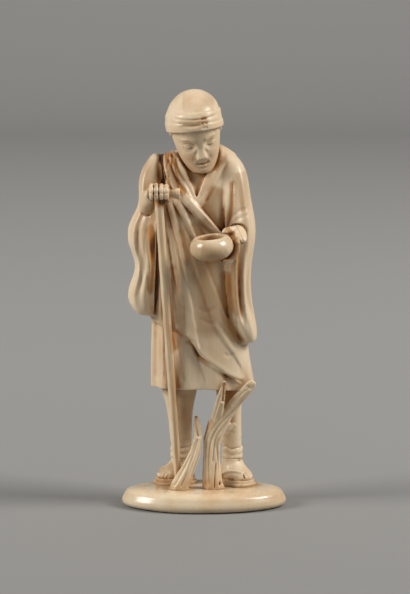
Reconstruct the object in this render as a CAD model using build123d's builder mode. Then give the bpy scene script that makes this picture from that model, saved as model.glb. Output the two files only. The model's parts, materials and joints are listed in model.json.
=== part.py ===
import math
import os
from build123d import *

# Carved standing figure with a staff and a bowl, on an oval slab with two tree stumps.
# X runs to the viewer's right, Y away from the viewer and Z up.
# Left and right in the names are the figure's own, so its right is at negative X.
# The origin is at the centre of the slab's underside. All lengths are millimetres.

# Slab
base_width = 71.0
base_depth = 41.0
base_thickness = 8.0
base_top_round = 3.6
base_foot_round = 2.6

# Pegs, their holes and the gap left for glue and for carved fits
peg_radius = 1.1
thick_peg_radius = 1.6
peg_fit = 0.05
grip_fit = 0.12
peg_reach = 3.0
long_peg_reach = 5.0
peg_end_room = 0.3

# Robe, from its hem to the top of the collar
hem_height = 51.6
robe_height = 101.9
robe_width = 43.0
robe_depth = 26.0
robe_axis_x = -1.0
robe_axis_y = 3.0
pleat_depth = 0.75
robe_pleats = 11
pleat_turn = 1.43
shawl_thickness = 1.2
shawl_fold_rise = 0.7
hem_wall = 2.4
hem_recess = 4.0
collar_thickness = 0.8
collar_band_width = 3.3
cut_overrun = 12.0
chest_y = -9.0

# Head, built along its own bowed axis
head_height = 35.0
head_width = 21.0
head_depth = 27.0
head_x = -3.6
head_y = -5.6
head_z = 162.9
cloth_thickness = 0.8
band_height = 7.6
band_thickness = 0.6
nose_width = 3.8
nose_rise = 2.2
nose_taper = 20.0
eye_spacing = 9.6
eye_radius = 2.3
eye_hollow = 0.9
hollow_radius = 3.0
mouth_width = 6.0
mouth_depth = 0.7
chin_height = 144.8
neck_radius = 6.0
neck_x = -2.8
neck_y = 0.4
neck_seat_height = 146.5
neck_gap = 0.4
neck_length = 13.0
cap_lean = -45.0
band_lean = -26.0
band_twist = 3.0

# Sleeves
sleeve_fold_depth = 0.9
sleeve_folds = 9
right_sleeve_foot = 83.3
right_sleeve_height = 69.7
right_sleeve_width = 12.0
right_sleeve_depth = 24.0
right_sleeve_axis_x = -20.5
right_sleeve_axis_y = -1.5
left_sleeve_foot = 71.3
left_sleeve_height = 82.0
left_sleeve_width = 14.0
left_sleeve_depth = 24.0
left_sleeve_axis_x = 8.0
left_sleeve_axis_y = -1.5
cuff_gap = 0.6

# Seats between robe and sleeves
right_seat_x = -20.2
left_seat_x = 13.6
seat_z = 112.0
left_tuck_height = 90.0
sleeve_peg_x = -2.0
sleeve_peg_step = 17.0
sleeve_peg_reach = 3.0

# Crossbar and staff
crossbar_radius = 1.95
crossbar_length = 15.6
crossbar_end_x = -9.9
crossbar_y = -22.0
crossbar_z = 137.4
staff_x = -18.9
staff_top_radius = 2.05
staff_foot_radius = 1.7
staff_foot_x = -10.8
staff_foot_y = -1.6
tenon_radius = 0.8
tenon_length = 2.0
bar_chamfer = 0.3

# Right hand over the crossbar
finger_radius = 1.2
finger_pitch = 2.1
finger_count = 4
finger_curl = 200.0
first_finger_x = -21.9
thumb_radius = 1.3
wrist_radius = 3.0
right_wrist_x = -23.6
right_wrist_y = -11.6
right_wrist_z = 129.6
hand_thickness = 4.6
hand_width = 9.0
heel_y = -16.0
heel_z = 132.4
knuckle_y = -19.4
knuckle_z = 138.6

# Bowl
bowl_radius = 9.2
bowl_height = 10.2
bowl_mouth_radius = 5.9
bowl_wall = 2.4
bowl_foot_radius = 4.6
bowl_x = 3.9
bowl_y = -25.2
bowl_z = 109.9
bowl_tilt = 5.0
bowl_roll = -6.0

# Left hand under and round the bowl
left_wrist_x = 14.2
left_wrist_y = -12.2
left_wrist_z = 120.6
left_wrist_radius = 2.9
palm_radius = 3.2
palm_reach = 5.0
bowl_gap = 0.15
bowl_pin_radius = 0.6
bowl_pin_reach = 1.5
bowl_pin_turn = 24.0

# Legs and feet
leg_foot_height = 19.2
right_leg_x = -9.6
right_leg_y = 10.2
right_hip_x = -10.6
left_leg_x = 12.3
left_leg_y = 8.7
left_hip_x = 10.9
hip_y = 4.2
leg_width = 15.0
leg_depth = 14.0
gaiter_height = 5.0
gaiter_thickness = 0.7
sole_front = 12.2
sole_back = 6.4
sole_width = 14.0
sole_thickness = 1.4
sole_step = 0.7
foot_front = 10.9
foot_back = 5.6
foot_width = 12.0
right_foot_turn = -66.0
left_foot_turn = 37.0
foot_peg_step = 3.4
gaiter_taper = 4.0
strap_radius = 0.6
toe_slit = 0.5
toe_slit_x = -1.6
toe_slit_length = 5.0

# Stumps
short_stump_height = 33.0
short_stump_width = 9.0
short_flat_share = 0.55
short_stump_x = -10.35
short_stump_y = -5.9
forked_stump_height = 47.9
forked_stump_width = 9.8
forked_flat_share = 0.56
forked_stump_x = 4.2
forked_stump_y = -3.9
split_x = 6.9
split_width = 0.5
split_lean = 0.6
split_height = 9.0

# Rings of the robe: height, left, right, front and back as shares of its sizes
robe_shares = [
    (0.00, 0.493, 0.500, 0.430, 0.520),
    (0.06, 0.493, 0.468, 0.445, 0.505),
    (0.15, 0.491, 0.430, 0.470, 0.485),
    (0.30, 0.479, 0.400, 0.520, 0.450),
    (0.47, 0.465, 0.385, 0.545, 0.415),
    (0.65, 0.470, 0.390, 0.530, 0.400),
    (0.79, 0.475, 0.450, 0.485, 0.400),
    (0.885, 0.470, 0.460, 0.425, 0.390),
    (0.945, 0.450, 0.440, 0.350, 0.365),
    (0.985, 0.370, 0.350, 0.265, 0.330),
    (1.020, 0.250, 0.210, 0.190, 0.280),
]

# Front outline of the shawl, which runs from the right shoulder to the left hip
shawl_shares = [
    (-0.62, 1.05),
    (-0.28, 1.05),
    (-0.25, 0.94),
    (-0.11, 0.825),
    (0.087, 0.727),
    (0.215, 0.662),
    (0.62, 0.56),
    (0.62, 0.012),
    (0.45, 0.018),
    (0.185, 0.078),
    (-0.012, 0.145),
    (-0.11, 0.215),
    (-0.33, 0.268),
    (-0.62, 0.30),
]

# Raised folds of the shawl, each widening as it falls from the shoulder
shawl_fold_shares = [
    [
        (-0.28, 1.05),
        (-0.25, 0.94),
        (-0.11, 0.825),
        (0.087, 0.727),
        (0.62, 0.56),
        (0.62, 0.44),
        (0.04, 0.66),
        (-0.14, 0.78),
        (-0.275, 0.93),
        (-0.30, 1.05),
    ],
    [
        (-0.315, 1.05),
        (-0.30, 0.93),
        (-0.04, 0.62),
        (0.24, 0.32),
        (0.62, 0.10),
        (0.62, -0.05),
        (0.14, 0.27),
        (-0.11, 0.59),
        (-0.325, 0.92),
        (-0.34, 1.05),
    ],
    [
        (-0.355, 1.05),
        (-0.345, 0.93),
        (-0.17, 0.56),
        (0.02, 0.05),
        (-0.10, 0.05),
        (-0.235, 0.56),
        (-0.375, 0.93),
        (-0.38, 1.05),
    ],
    [
        (-0.395, 1.05),
        (-0.395, 0.90),
        (-0.31, 0.55),
        (-0.22, 0.10),
        (-0.30, 0.10),
        (-0.37, 0.50),
        (-0.425, 0.90),
        (-0.43, 1.05),
    ],
]

# Opening of the robe on the chest: half width at the top and height of its tip
neck_opening_shares = (0.205, 0.805)
neck_opening_centre_share = -0.045

right_sleeve_shares = [
    (0.000, 0.55, 0.02, 0.28, 0.28),
    (0.040, 0.80, 0.06, 0.38, 0.38),
    (0.100, 0.94, 0.08, 0.45, 0.44),
    (0.190, 0.87, 0.08, 0.48, 0.47),
    (0.280, 0.68, 0.08, 0.50, 0.49),
    (0.390, 0.79, 0.08, 0.52, 0.50),
    (0.500, 0.93, 0.08, 0.53, 0.50),
    (0.580, 0.85, 0.08, 0.52, 0.50),
    (0.680, 0.59, 0.08, 0.47, 0.50),
    (0.800, 0.57, 0.10, 0.36, 0.49),
    (0.900, 0.43, 0.14, 0.24, 0.46),
    (0.965, 0.18, 0.18, 0.10, 0.38),
    (1.000, -0.12, 0.30, -0.04, 0.28),
]

left_sleeve_shares = [
    (0.000, -0.66, 1.00, 0.20, 0.26),
    (0.027, -0.54, 1.05, 0.29, 0.34),
    (0.070, -0.40, 1.03, 0.36, 0.40),
    (0.180, -0.10, 0.89, 0.43, 0.45),
    (0.290, -0.04, 0.80, 0.47, 0.47),
    (0.430, -0.02, 0.83, 0.50, 0.49),
    (0.560, 0.00, 0.95, 0.53, 0.50),
    (0.670, 0.00, 0.92, 0.51, 0.50),
    (0.750, 0.03, 0.84, 0.44, 0.50),
    (0.870, 0.05, 0.74, 0.32, 0.49),
    (0.950, 0.08, 0.53, 0.19, 0.45),
    (1.000, 0.10, 0.12, 0.02, 0.32),
]

# Rings of the head: height, half width, front and back
head_shares = [
    (-0.46, 0.15, 0.40, -0.12),
    (-0.43, 0.25, 0.44, 0.02),
    (-0.35, 0.34, 0.46, 0.16),
    (-0.22, 0.42, 0.475, 0.30),
    (-0.06, 0.475, 0.49, 0.42),
    (0.12, 0.50, 0.48, 0.50),
    (0.29, 0.455, 0.43, 0.47),
    (0.39, 0.355, 0.33, 0.38),
    (0.455, 0.22, 0.20, 0.25),
    (0.485, 0.09, 0.08, 0.11),
]

# Places on the head as shares of its height, and the face's front as a share of its depth
cap_foot_share = -0.085
band_foot_share = 0.02
eye_share = -0.03
nose_share = -0.19
mouth_share = -0.275
face_front_share = 0.475
eye_front_share = 0.425
mouth_front_share = 0.468

# Rings of a leg: height, half width and half depth as shares
right_leg_shares = [
    (0.00, 0.280, 0.290),
    (0.18, 0.300, 0.310),
    (0.42, 0.335, 0.350),
    (0.62, 0.390, 0.420),
    (0.82, 0.500, 0.480),
    (1.00, 0.550, 0.500),
]
left_leg_shares = [
    (0.00, 0.262, 0.275),
    (0.18, 0.285, 0.300),
    (0.42, 0.300, 0.340),
    (0.62, 0.325, 0.390),
    (0.82, 0.395, 0.430),
    (1.00, 0.410, 0.430),
]

# Rings of a foot: height, half width, front and back as shares
foot_shares = [
    (0.00, 0.50, 1.00, 1.00),
    (0.22, 0.50, 0.98, 1.00),
    (0.42, 0.45, 0.80, 0.98),
    (0.64, 0.39, 0.56, 0.90),
    (0.85, 0.37, 0.43, 0.80),
    (1.00, 0.37, 0.41, 0.76),
]
strap_shares = [
    (0.00, -0.84, 0.34),
    (0.26, -0.56, 0.42),
    (0.43, -0.20, 0.30),
    (0.44, 0.04, 0.06),
]

# Stations along the stumps: sideways place, depth place, height and radius as shares
short_stump_shares = [
    (0.00, 0.00, 0.00, 0.50),
    (0.03, 0.00, 0.06, 0.46),
    (0.38, 0.03, 0.25, 0.38),
    (0.59, 0.04, 0.38, 0.33),
    (0.76, 0.05, 0.50, 0.28),
    (0.87, 0.05, 0.67, 0.23),
    (0.84, 0.05, 0.82, 0.21),
    (0.81, 0.05, 0.92, 0.16),
    (0.80, 0.05, 0.97, 0.08),
]
trunk_shares = [
    (0.00, 0.00, 0.00, 0.50),
    (-0.06, 0.00, 0.09, 0.45),
    (-0.09, 0.02, 0.26, 0.415),
    (-0.07, 0.03, 0.44, 0.42),
    (0.10, 0.04, 0.60, 0.36),
]
upright_branch_shares = [
    (-0.10, 0.00, 0.42, 0.30),
    (0.14, -0.16, 0.66, 0.27),
    (0.32, -0.48, 0.84, 0.21),
    (0.48, -0.72, 1.00, 0.08),
]
big_branch_shares = [
    (-0.02, 0.00, 0.40, 0.34),
    (0.52, -0.12, 0.66, 0.30),
    (1.10, -0.26, 0.83, 0.27),
    (1.62, -0.38, 0.955, 0.24),
    (1.76, -0.42, 0.99, 0.13),
]
twig_shares = [
    (0.15, 0.00, 0.46, 0.24),
    (0.62, -0.05, 0.555, 0.21),
    (0.98, -0.08, 0.590, 0.13),
]


def ring_points(left, right, front, back, fullness, fold, count):
    """Points round a full outline that reaches so far on each side and is folded by a rule."""
    middle_x = (right - left) / 2
    middle_y = (back - front) / 2
    half_x = (right + left) / 2
    half_y = (back + front) / 2
    points = []
    for step in range(count):
        angle = 2 * math.pi * step / count
        corner_x = math.copysign(abs(math.cos(angle)) ** fullness, math.cos(angle))
        corner_y = math.copysign(abs(math.sin(angle)) ** fullness, math.sin(angle))
        depth = fold(angle, middle_x + half_x * corner_x)
        points.append((middle_x + (half_x + depth) * corner_x, middle_y + (half_y + depth) * corner_y))
    return points


def smooth(angle, across):
    """The rule of a surface without folds."""
    return 0


def ring_face(plane, left, right, front, back, fullness=1.0, fold=smooth, count=24):
    """A face inside one smooth closed outline."""
    with BuildSketch(plane, mode=Mode.PRIVATE) as ring:
        with BuildLine():
            Spline(ring_points(left, right, front, back, fullness, fold, count), periodic=True)
        make_face()
    return ring.sketch


def pleat(depth, folds, turn):
    """The rule of upright pleats: so many round the figure, begun at an angle."""
    return lambda angle, across: depth * math.cos(folds * angle + turn)


def robe_layer(thickness, fold_at, count=24):
    """Rings of the robe grown by a thickness, each folded by the rule for its level."""
    rings = []
    for height, left, right, front, back in robe_shares:
        level = hem_height + height * robe_height
        rings.append(
            ring_face(
                Plane((robe_axis_x, robe_axis_y, level)),
                left * robe_width + thickness,
                right * robe_width + thickness,
                front * robe_depth + thickness,
                back * robe_depth + thickness,
                fullness=0.86,
                fold=fold_at(level),
                count=count,
            )
        )
    return rings


def robe_pleat(level):
    """The rule of the robe's pleats, which die away towards the shoulders."""
    fade = min(1.0, 2 * (robe_top - level) / robe_height)
    return pleat(pleat_depth * max(0.0, fade), robe_pleats, pleat_turn)


def no_fold(level):
    """The rule of a plain layer at any level."""
    return smooth


def sleeve_rings(shares, axis_x, axis_y, foot, height, width, depth, turn):
    """Rings of a hanging sleeve, from its lower edge to the shoulder."""
    rings = []
    for level, left, right, front, back in shares:
        calm = max(0.0, min(1.0, 8 * level, 1.7 - 1.7 * level))
        rings.append(
            ring_face(
                Plane((axis_x, axis_y, foot + level * height)),
                left * width,
                right * width,
                front * depth,
                back * depth,
                fullness=0.78,
                fold=pleat(calm * sleeve_fold_depth, sleeve_folds, turn),
            )
        )
    return rings


def front_outline(shares):
    """Corners of a front view outline, in shares of the robe's sizes."""
    return [(robe_axis_x + x * robe_width, hem_height + z * robe_height) for x, z in shares]


def stick_rings(shares, place, width, height, flat_share, sides=6):
    """Polygons along a chopped, flattish stick, each square to the run through it."""
    points = []
    for x, y, z, radius in shares:
        points.append(Vector(place[0] + x * width, place[1] + y * width, place[2] + z * height))
    rings = []
    for index, row in enumerate(shares):
        before = points[max(index - 1, 0)]
        after = points[min(index + 1, len(points) - 1)]
        run = after - before
        if index == 0 and row[2] == 0:
            run = Vector(0, 0, 1)
        plane = Plane(origin=points[index], x_dir=(1, 0, -run.X / run.Z), z_dir=run)
        reach = row[3] * width
        corners = []
        for corner in range(sides):
            angle = 2 * math.pi * (corner + 0.2 * index) / sides
            corners.append((reach * math.cos(angle), flat_share * reach * math.sin(angle)))
        with BuildSketch(plane, mode=Mode.PRIVATE) as ring:
            Polygon(*corners, align=None)
        rings.append(ring.sketch)
    return rings


def limb_rings(stations):
    """Round sections through a limb: each station is a centre, a direction and two radii."""
    rings = []
    for centre, direction, across, along in stations:
        plane = Plane(origin=centre, z_dir=direction)
        with BuildSketch(plane, mode=Mode.PRIVATE) as ring:
            Ellipse(across, along)
        rings.append(ring.sketch)
    return rings


def finger_end(reach):
    """Depth and height of a fingertip that has curled over the crossbar."""
    angle = math.radians(finger_curl)
    return crossbar_y + reach * math.cos(angle), crossbar_z + reach * math.sin(angle)


os.makedirs("parts", exist_ok=True)

# Seats where the pieces meet, each facing out of the piece that holds it
neck_seat = Plane((neck_x, neck_y, neck_seat_height))
right_sleeve_seat = Plane((right_seat_x, 0, seat_z), x_dir=(0, 1, 0), z_dir=(-1, 0, 0.03))
left_sleeve_seat = Plane((left_seat_x, 0, seat_z), x_dir=(0.45, 1, 0), z_dir=(1, -0.45, 0.06))
right_wrist_seat = Plane((right_wrist_x, right_wrist_y, right_wrist_z), z_dir=(0.02, -0.85, 0.52))
left_wrist_seat = Plane((left_wrist_x, left_wrist_y, left_wrist_z), z_dir=(-0.18, -0.95, -0.12))
hip_height = hem_height + hem_recess
right_hip_seat = Plane((right_hip_x, hip_y, hip_height), z_dir=(0, 0, -1))
left_hip_seat = Plane((left_hip_x, hip_y, hip_height), z_dir=(0, 0, -1))
right_ankle_seat = Plane((right_leg_x, right_leg_y, leg_foot_height), z_dir=(0, 0, -1))
left_ankle_seat = Plane((left_leg_x, left_leg_y, leg_foot_height), z_dir=(0, 0, -1))
head_frame = Plane((head_x, head_y, head_z), x_dir=(1, 0.13, 0.12), z_dir=(-0.12, -0.45, 0.89))
bowl_frame = Plane((bowl_x, bowl_y, bowl_z)).rotated((bowl_tilt, bowl_roll, 0))
bowl_pin_seat = Plane(
    (
        bowl_x + bowl_radius * math.cos(math.radians(bowl_pin_turn)),
        bowl_y + bowl_radius * math.sin(math.radians(bowl_pin_turn)),
        bowl_z + bowl_height / 2,
    ),
    z_dir=(math.cos(math.radians(bowl_pin_turn)), math.sin(math.radians(bowl_pin_turn)), 0),
)
staff_head = Vector(staff_x, crossbar_y, crossbar_z)
staff_foot = Vector(staff_foot_x, staff_foot_y, base_thickness)
staff_run = staff_head - staff_foot
staff_foot_seat = Plane(origin=staff_foot)
peg_hole_radius = peg_radius + peg_fit
thick_hole_radius = thick_peg_radius + peg_fit
hole_reach = peg_reach + peg_end_room
long_hole_reach = long_peg_reach + peg_end_room
robe_top = hem_height + robe_shares[-1][0] * robe_height


def seat_room(seat, outside):
    """A block that fills the space on one side of a sleeve's seat."""
    side = Align.MIN if outside else Align.MAX
    with BuildPart(seat) as room:
        Box(4 * robe_width, 4 * robe_height, robe_width, align=(Align.CENTER, Align.CENTER, side))
    return room.part


def head_ring(row, grow):
    """One ring of the head, square to its bowed axis."""
    height, half_width, front, back = row
    return ring_face(
        head_frame.offset(height * head_height),
        half_width * head_width + grow,
        half_width * head_width + grow,
        front * head_depth + grow,
        back * head_depth + grow,
        fullness=0.94,
    )


# Space round the head, so that the collar clears the jaw and the nape
with BuildPart() as head_room:
    loft([head_ring(row, cloth_thickness + neck_gap) for row in head_shares])

# Places on the slab where the feet and the stumps stand
foot_frames = []
for leg_x, leg_y, turn in (
    (right_leg_x, right_leg_y, right_foot_turn),
    (left_leg_x, left_leg_y, left_foot_turn),
):
    foot_frames.append(Plane((leg_x, leg_y, base_thickness)).rotated((0, 0, turn)))
right_foot_frame, left_foot_frame = foot_frames
short_stump_place = (short_stump_x, short_stump_y, base_thickness)
forked_stump_place = (forked_stump_x, forked_stump_y, base_thickness)
forked_peg_step = 0.24 * forked_stump_width
foot_peg_places = ((0, foot_peg_step / 2), (0, -foot_peg_step))
forked_peg_places = ((-forked_peg_step, 0), (forked_peg_step, 0))
sleeve_peg_places = ((sleeve_peg_x, sleeve_peg_step), (sleeve_peg_x, -sleeve_peg_step))

# Oval slab with a full, rounded rim
with BuildPart() as base:
    with BuildSketch():
        Ellipse(base_width / 2, base_depth / 2)
    extrude(amount=base_thickness)
    fillet(base.edges().sort_by(Axis.Z)[-1], base_top_round)
    fillet(base.edges().sort_by(Axis.Z)[0], base_foot_round)
    with Locations(right_foot_frame, left_foot_frame):
        with Locations(*foot_peg_places):
            Hole(peg_hole_radius, hole_reach)
    with Locations(short_stump_place):
        Hole(peg_hole_radius, hole_reach)
    with Locations(forked_stump_place):
        with Locations(*forked_peg_places):
            Hole(peg_hole_radius, hole_reach)
    with Locations(staff_foot_seat):
        Hole(tenon_radius + peg_fit, tenon_length + peg_end_room)
base.part.label = "base"
export_step(base.part, "parts/base.step")

# Hanging sleeves, each flat on its seat and open at the cuff for a wrist
with BuildPart() as right_sleeve:
    loft(
        sleeve_rings(
            right_sleeve_shares,
            right_sleeve_axis_x,
            right_sleeve_axis_y,
            right_sleeve_foot,
            right_sleeve_height,
            right_sleeve_width,
            right_sleeve_depth,
            0.5,
        )
    )
    add(seat_room(right_sleeve_seat, False), mode=Mode.SUBTRACT)
    with Locations(right_wrist_seat):
        Cylinder(
            wrist_radius + cuff_gap,
            cut_overrun,
            align=(Align.CENTER, Align.CENTER, Align.MIN),
            mode=Mode.SUBTRACT,
        )
        Hole(peg_hole_radius, hole_reach)
    with Locations(right_sleeve_seat):
        with Locations(*sleeve_peg_places):
            Hole(thick_hole_radius, sleeve_peg_reach + peg_end_room)
right_sleeve.part.label = "right_sleeve"
export_step(right_sleeve.part, "parts/right_sleeve.step")

with BuildPart() as left_sleeve_form:
    loft(
        sleeve_rings(
            left_sleeve_shares,
            left_sleeve_axis_x,
            left_sleeve_axis_y,
            left_sleeve_foot,
            left_sleeve_height,
            left_sleeve_width,
            left_sleeve_depth,
            2.2,
        )
    )
    add(seat_room(left_sleeve_seat, False), mode=Mode.SUBTRACT)
with BuildPart() as left_sleeve:
    add(left_sleeve_form.part)
    with Locations(left_wrist_seat):
        Cylinder(
            left_wrist_radius + cuff_gap,
            cut_overrun,
            align=(Align.CENTER, Align.CENTER, Align.MIN),
            mode=Mode.SUBTRACT,
        )
        Hole(peg_hole_radius, hole_reach)
    with Locations(left_sleeve_seat):
        with Locations(*sleeve_peg_places):
            Hole(thick_hole_radius, sleeve_peg_reach + peg_end_room)
left_sleeve.part.label = "left_sleeve"
export_step(left_sleeve.part, "parts/left_sleeve.step")

# Shawl, drawn from the right shoulder to the left hip, with folds that fan out and overlap
with BuildPart() as shawl:
    loft(robe_layer(shawl_thickness, no_fold))
    with BuildSketch(Plane.XZ):
        Polygon(*front_outline(shawl_shares), align=None)
    extrude(amount=robe_width, both=True, mode=Mode.INTERSECT)
with BuildPart() as shawl_folds:
    loft(robe_layer(shawl_thickness + shawl_fold_rise, no_fold))
    with BuildSketch(Plane.XZ):
        for outline in shawl_fold_shares:
            Polygon(*front_outline(outline), align=None)
        add(Polygon(*front_outline(shawl_shares), align=None, mode=Mode.PRIVATE), mode=Mode.INTERSECT)
    extrude(amount=robe_width, both=True, mode=Mode.INTERSECT)

# Collar, two flat bands that cross on the chest
opening_half = neck_opening_shares[0] * robe_width
opening_foot = hem_height + neck_opening_shares[1] * robe_height
opening_x = robe_axis_x + neck_opening_centre_share * robe_width
opening_top = robe_top + collar_thickness
band_drop = collar_band_width * (opening_top - opening_foot) / opening_half
with BuildPart() as collar:
    loft(robe_layer(collar_thickness, no_fold))
    with BuildSketch(Plane.XZ):
        Polygon(
            (opening_x, opening_foot - band_drop),
            (opening_x + opening_half + collar_band_width, opening_top),
            (opening_x + opening_half + collar_band_width, opening_top + collar_band_width),
            (opening_x - opening_half - collar_band_width, opening_top + collar_band_width),
            (opening_x - opening_half - collar_band_width, opening_top),
            align=None,
        )
    extrude(amount=robe_width, mode=Mode.INTERSECT)

chest_slope = Plane((opening_x, chest_y, opening_foot), x_dir=(1, 0, 0), z_dir=(0, -1, 0.3))
chest_length = 1.1 * (opening_top - opening_foot)
with BuildPart() as robe:
    loft(robe_layer(0, robe_pleat, count=32))
    add(collar.part)
    add(shawl.part)
    add(shawl_folds.part)
    add(head_room.part, mode=Mode.SUBTRACT)
    with BuildSketch(chest_slope):
        Polygon(
            (0, 0),
            (1.05 * opening_half, chest_length),
            (-1.05 * opening_half, chest_length),
            align=None,
        )
    extrude(amount=cut_overrun, mode=Mode.SUBTRACT)
    with Locations(neck_seat):
        Cylinder(
            neck_radius + neck_gap,
            cut_overrun,
            align=(Align.CENTER, Align.CENTER, Align.MIN),
            mode=Mode.SUBTRACT,
        )
        Hole(thick_hole_radius, long_hole_reach)
    with BuildSketch(Plane.XY.offset(hem_height)):
        add(
            ring_face(
                Plane((robe_axis_x, robe_axis_y, hem_height)),
                robe_shares[0][1] * robe_width - hem_wall,
                robe_shares[0][2] * robe_width - hem_wall,
                robe_shares[0][3] * robe_depth - hem_wall,
                robe_shares[0][4] * robe_depth - hem_wall,
            )
        )
    extrude(amount=hem_recess, mode=Mode.SUBTRACT)
    with Locations(right_hip_seat, left_hip_seat):
        Hole(thick_hole_radius, long_hole_reach)
    for seat, foot in ((right_sleeve_seat, right_sleeve_foot), (left_sleeve_seat, left_tuck_height)):
        with BuildPart(mode=Mode.PRIVATE) as room:
            add(seat_room(seat, True))
            split(bisect_by=Plane.XY.offset(foot), keep=Keep.TOP)
        add(room.part, mode=Mode.SUBTRACT)
    add(left_sleeve_form.part, mode=Mode.SUBTRACT)
    for seat in (right_sleeve_seat, left_sleeve_seat):
        with Locations(seat):
            with Locations(*sleeve_peg_places):
                Hole(thick_hole_radius, sleeve_peg_reach + peg_end_room)
robe.part.label = "robe"
export_step(robe.part, "parts/robe.step")

# Headcloth: a cap that falls low on the nape, with a band folded round the brow
cap_edge = head_frame.offset(cap_foot_share * head_height).rotated((cap_lean, 0, 0))
band_edge = head_frame.offset(band_foot_share * head_height).rotated((band_lean, 0, 0))
with BuildPart() as headcloth:
    loft([head_ring(row, cloth_thickness) for row in head_shares])
    split(bisect_by=cap_edge, keep=Keep.TOP)
with BuildPart() as band:
    loft([head_ring(row, cloth_thickness + band_thickness) for row in head_shares])
    split(bisect_by=band_edge, keep=Keep.TOP)
    split(bisect_by=band_edge.offset(band_height), keep=Keep.BOTTOM)
with BuildPart() as band_fold:
    loft([head_ring(row, cloth_thickness + 1.6 * band_thickness) for row in head_shares])
    split(bisect_by=band_edge, keep=Keep.TOP)
    split(bisect_by=band_edge.offset(0.42 * band_height).rotated((0, band_twist, 0)), keep=Keep.BOTTOM)

# Head with a calm, plain face: eyes half way up, nose and mouth on even thirds below
middle_plane = Plane(head_frame.origin, x_dir=-head_frame.y_dir, z_dir=-head_frame.x_dir)
face_plane = Plane(head_frame.origin, x_dir=head_frame.x_dir, z_dir=-head_frame.y_dir)
face_front = face_front_share * head_depth
eye_y = eye_radius - eye_front_share * head_depth
hollow_y = eye_hollow - eye_front_share * head_depth - hollow_radius
eye_z = eye_share * head_height
nose_z = nose_share * head_height
mouth_z = mouth_share * head_height
with BuildPart() as eye_socket:
    Sphere(hollow_radius)
    scale(by=(1.2, 1, 0.62))
with BuildPart() as eye_lid:
    Sphere(eye_radius)
    scale(by=(1.15, 1, 0.52))
with BuildPart() as head:
    loft([head_ring(row, 0) for row in head_shares])
    for side in (-1, 1):
        socket_place = Pos(side * eye_spacing / 2, hollow_y, eye_z)
        lid_place = Pos(side * eye_spacing / 2, eye_y, eye_z)
        add(head_frame.location * socket_place * eye_socket.part, mode=Mode.SUBTRACT)
        add(head_frame.location * lid_place * eye_lid.part)
    with BuildSketch(middle_plane):
        with BuildLine():
            Polyline(
                (0, eye_z + nose_width / 2),
                (face_front - nose_rise / 3, eye_z + nose_width / 2),
                (face_front + nose_rise, nose_z + nose_width / 4),
                (face_front + 0.7 * nose_rise, nose_z - nose_width / 4),
                (0, nose_z - nose_width / 2),
                close=True,
            )
        make_face()
    extrude(amount=nose_width / 2, both=True, taper=nose_taper)
    with BuildSketch(face_plane.offset(mouth_front_share * head_depth - mouth_depth)):
        with Locations((0, mouth_z)):
            SlotOverall(mouth_width, mouth_depth)
    extrude(amount=cut_overrun, mode=Mode.SUBTRACT)
    add(headcloth.part)
    add(band.part)
    add(band_fold.part)
    split(bisect_by=Plane.XY.offset(chin_height), keep=Keep.TOP)
    with Locations(neck_seat):
        Cylinder(neck_radius, neck_length, align=(Align.CENTER, Align.CENTER, Align.MIN))
        Hole(thick_hole_radius, long_hole_reach)
head.part.label = "head"
export_step(head.part, "parts/head.step")

# Crossbar of the staff, round with flat ends
crossbar_frame = Plane((crossbar_end_x, crossbar_y, crossbar_z), x_dir=(0, 1, 0), z_dir=(-1, 0, 0))
with BuildPart() as crossbar:
    with BuildSketch(crossbar_frame):
        Circle(crossbar_radius)
    extrude(amount=crossbar_length)
    chamfer(crossbar.edges(), bar_chamfer)
    with Locations(Plane(origin=staff_head, z_dir=staff_run)):
        Cylinder(
            tenon_radius + peg_fit,
            tenon_length + peg_end_room,
            align=(Align.CENTER, Align.CENTER, Align.MAX),
            mode=Mode.SUBTRACT,
        )
crossbar.part.label = "crossbar"
export_step(crossbar.part, "parts/crossbar.step")

# Eight-sided, tapering staff with a saddle under the crossbar and a tenon at each end
with BuildPart() as staff:
    with BuildSketch(Plane(origin=staff_foot, z_dir=staff_run)):
        RegularPolygon(staff_foot_radius, 8)
    with BuildSketch(Plane(origin=staff_head, z_dir=staff_run)):
        RegularPolygon(staff_top_radius, 8)
    loft(ruled=True)
    with BuildSketch(crossbar_frame.offset(-cut_overrun)):
        Circle(crossbar_radius + peg_fit)
    extrude(amount=3 * cut_overrun, mode=Mode.SUBTRACT)
    split(bisect_by=Plane.XY.offset(base_thickness), keep=Keep.TOP)
    with Locations(staff_foot_seat):
        Cylinder(tenon_radius, 2 * tenon_length)
    with Locations(Plane(origin=staff_head, z_dir=staff_run)):
        Cylinder(
            tenon_radius,
            crossbar_radius + tenon_length,
            align=(Align.CENTER, Align.CENTER, Align.MAX),
        )
staff.part.label = "staff"
export_step(staff.part, "parts/staff.step")

# Right hand: four fingers over the crossbar, a thumb under it and the wrist in its cuff
finger_bend = crossbar_radius + grip_fit + finger_radius
knuckle_x = first_finger_x + finger_pitch * (finger_count - 1) / 2
thumb_z = heel_z + thumb_radius
right_wrist = (right_wrist_x, right_wrist_y, right_wrist_z)
hand_heel = (right_wrist_x, heel_y, heel_z)
hand_back = (knuckle_x - finger_pitch, knuckle_y, knuckle_z)
right_thumb_end = (knuckle_x + 1.4 * finger_pitch, knuckle_y, thumb_z)
right_hand_stations = [
    (right_wrist, (0.02, -0.85, 0.52), wrist_radius, wrist_radius),
    (hand_heel, (0.2, -0.6, 0.75), 1.15 * wrist_radius, 1.1 * wrist_radius),
    (hand_back, (0.1, -0.6, 0.8), hand_width / 2, hand_thickness / 2),
]
right_thumb_stations = [
    (hand_heel, (1, -0.2, 0.1), 1.5 * thumb_radius, 1.5 * thumb_radius),
    ((staff_x, heel_y, thumb_z), (1, -0.3, 0.1), 1.2 * thumb_radius, 1.2 * thumb_radius),
    (right_thumb_end, (1, -1, 0), thumb_radius, thumb_radius),
]
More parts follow.
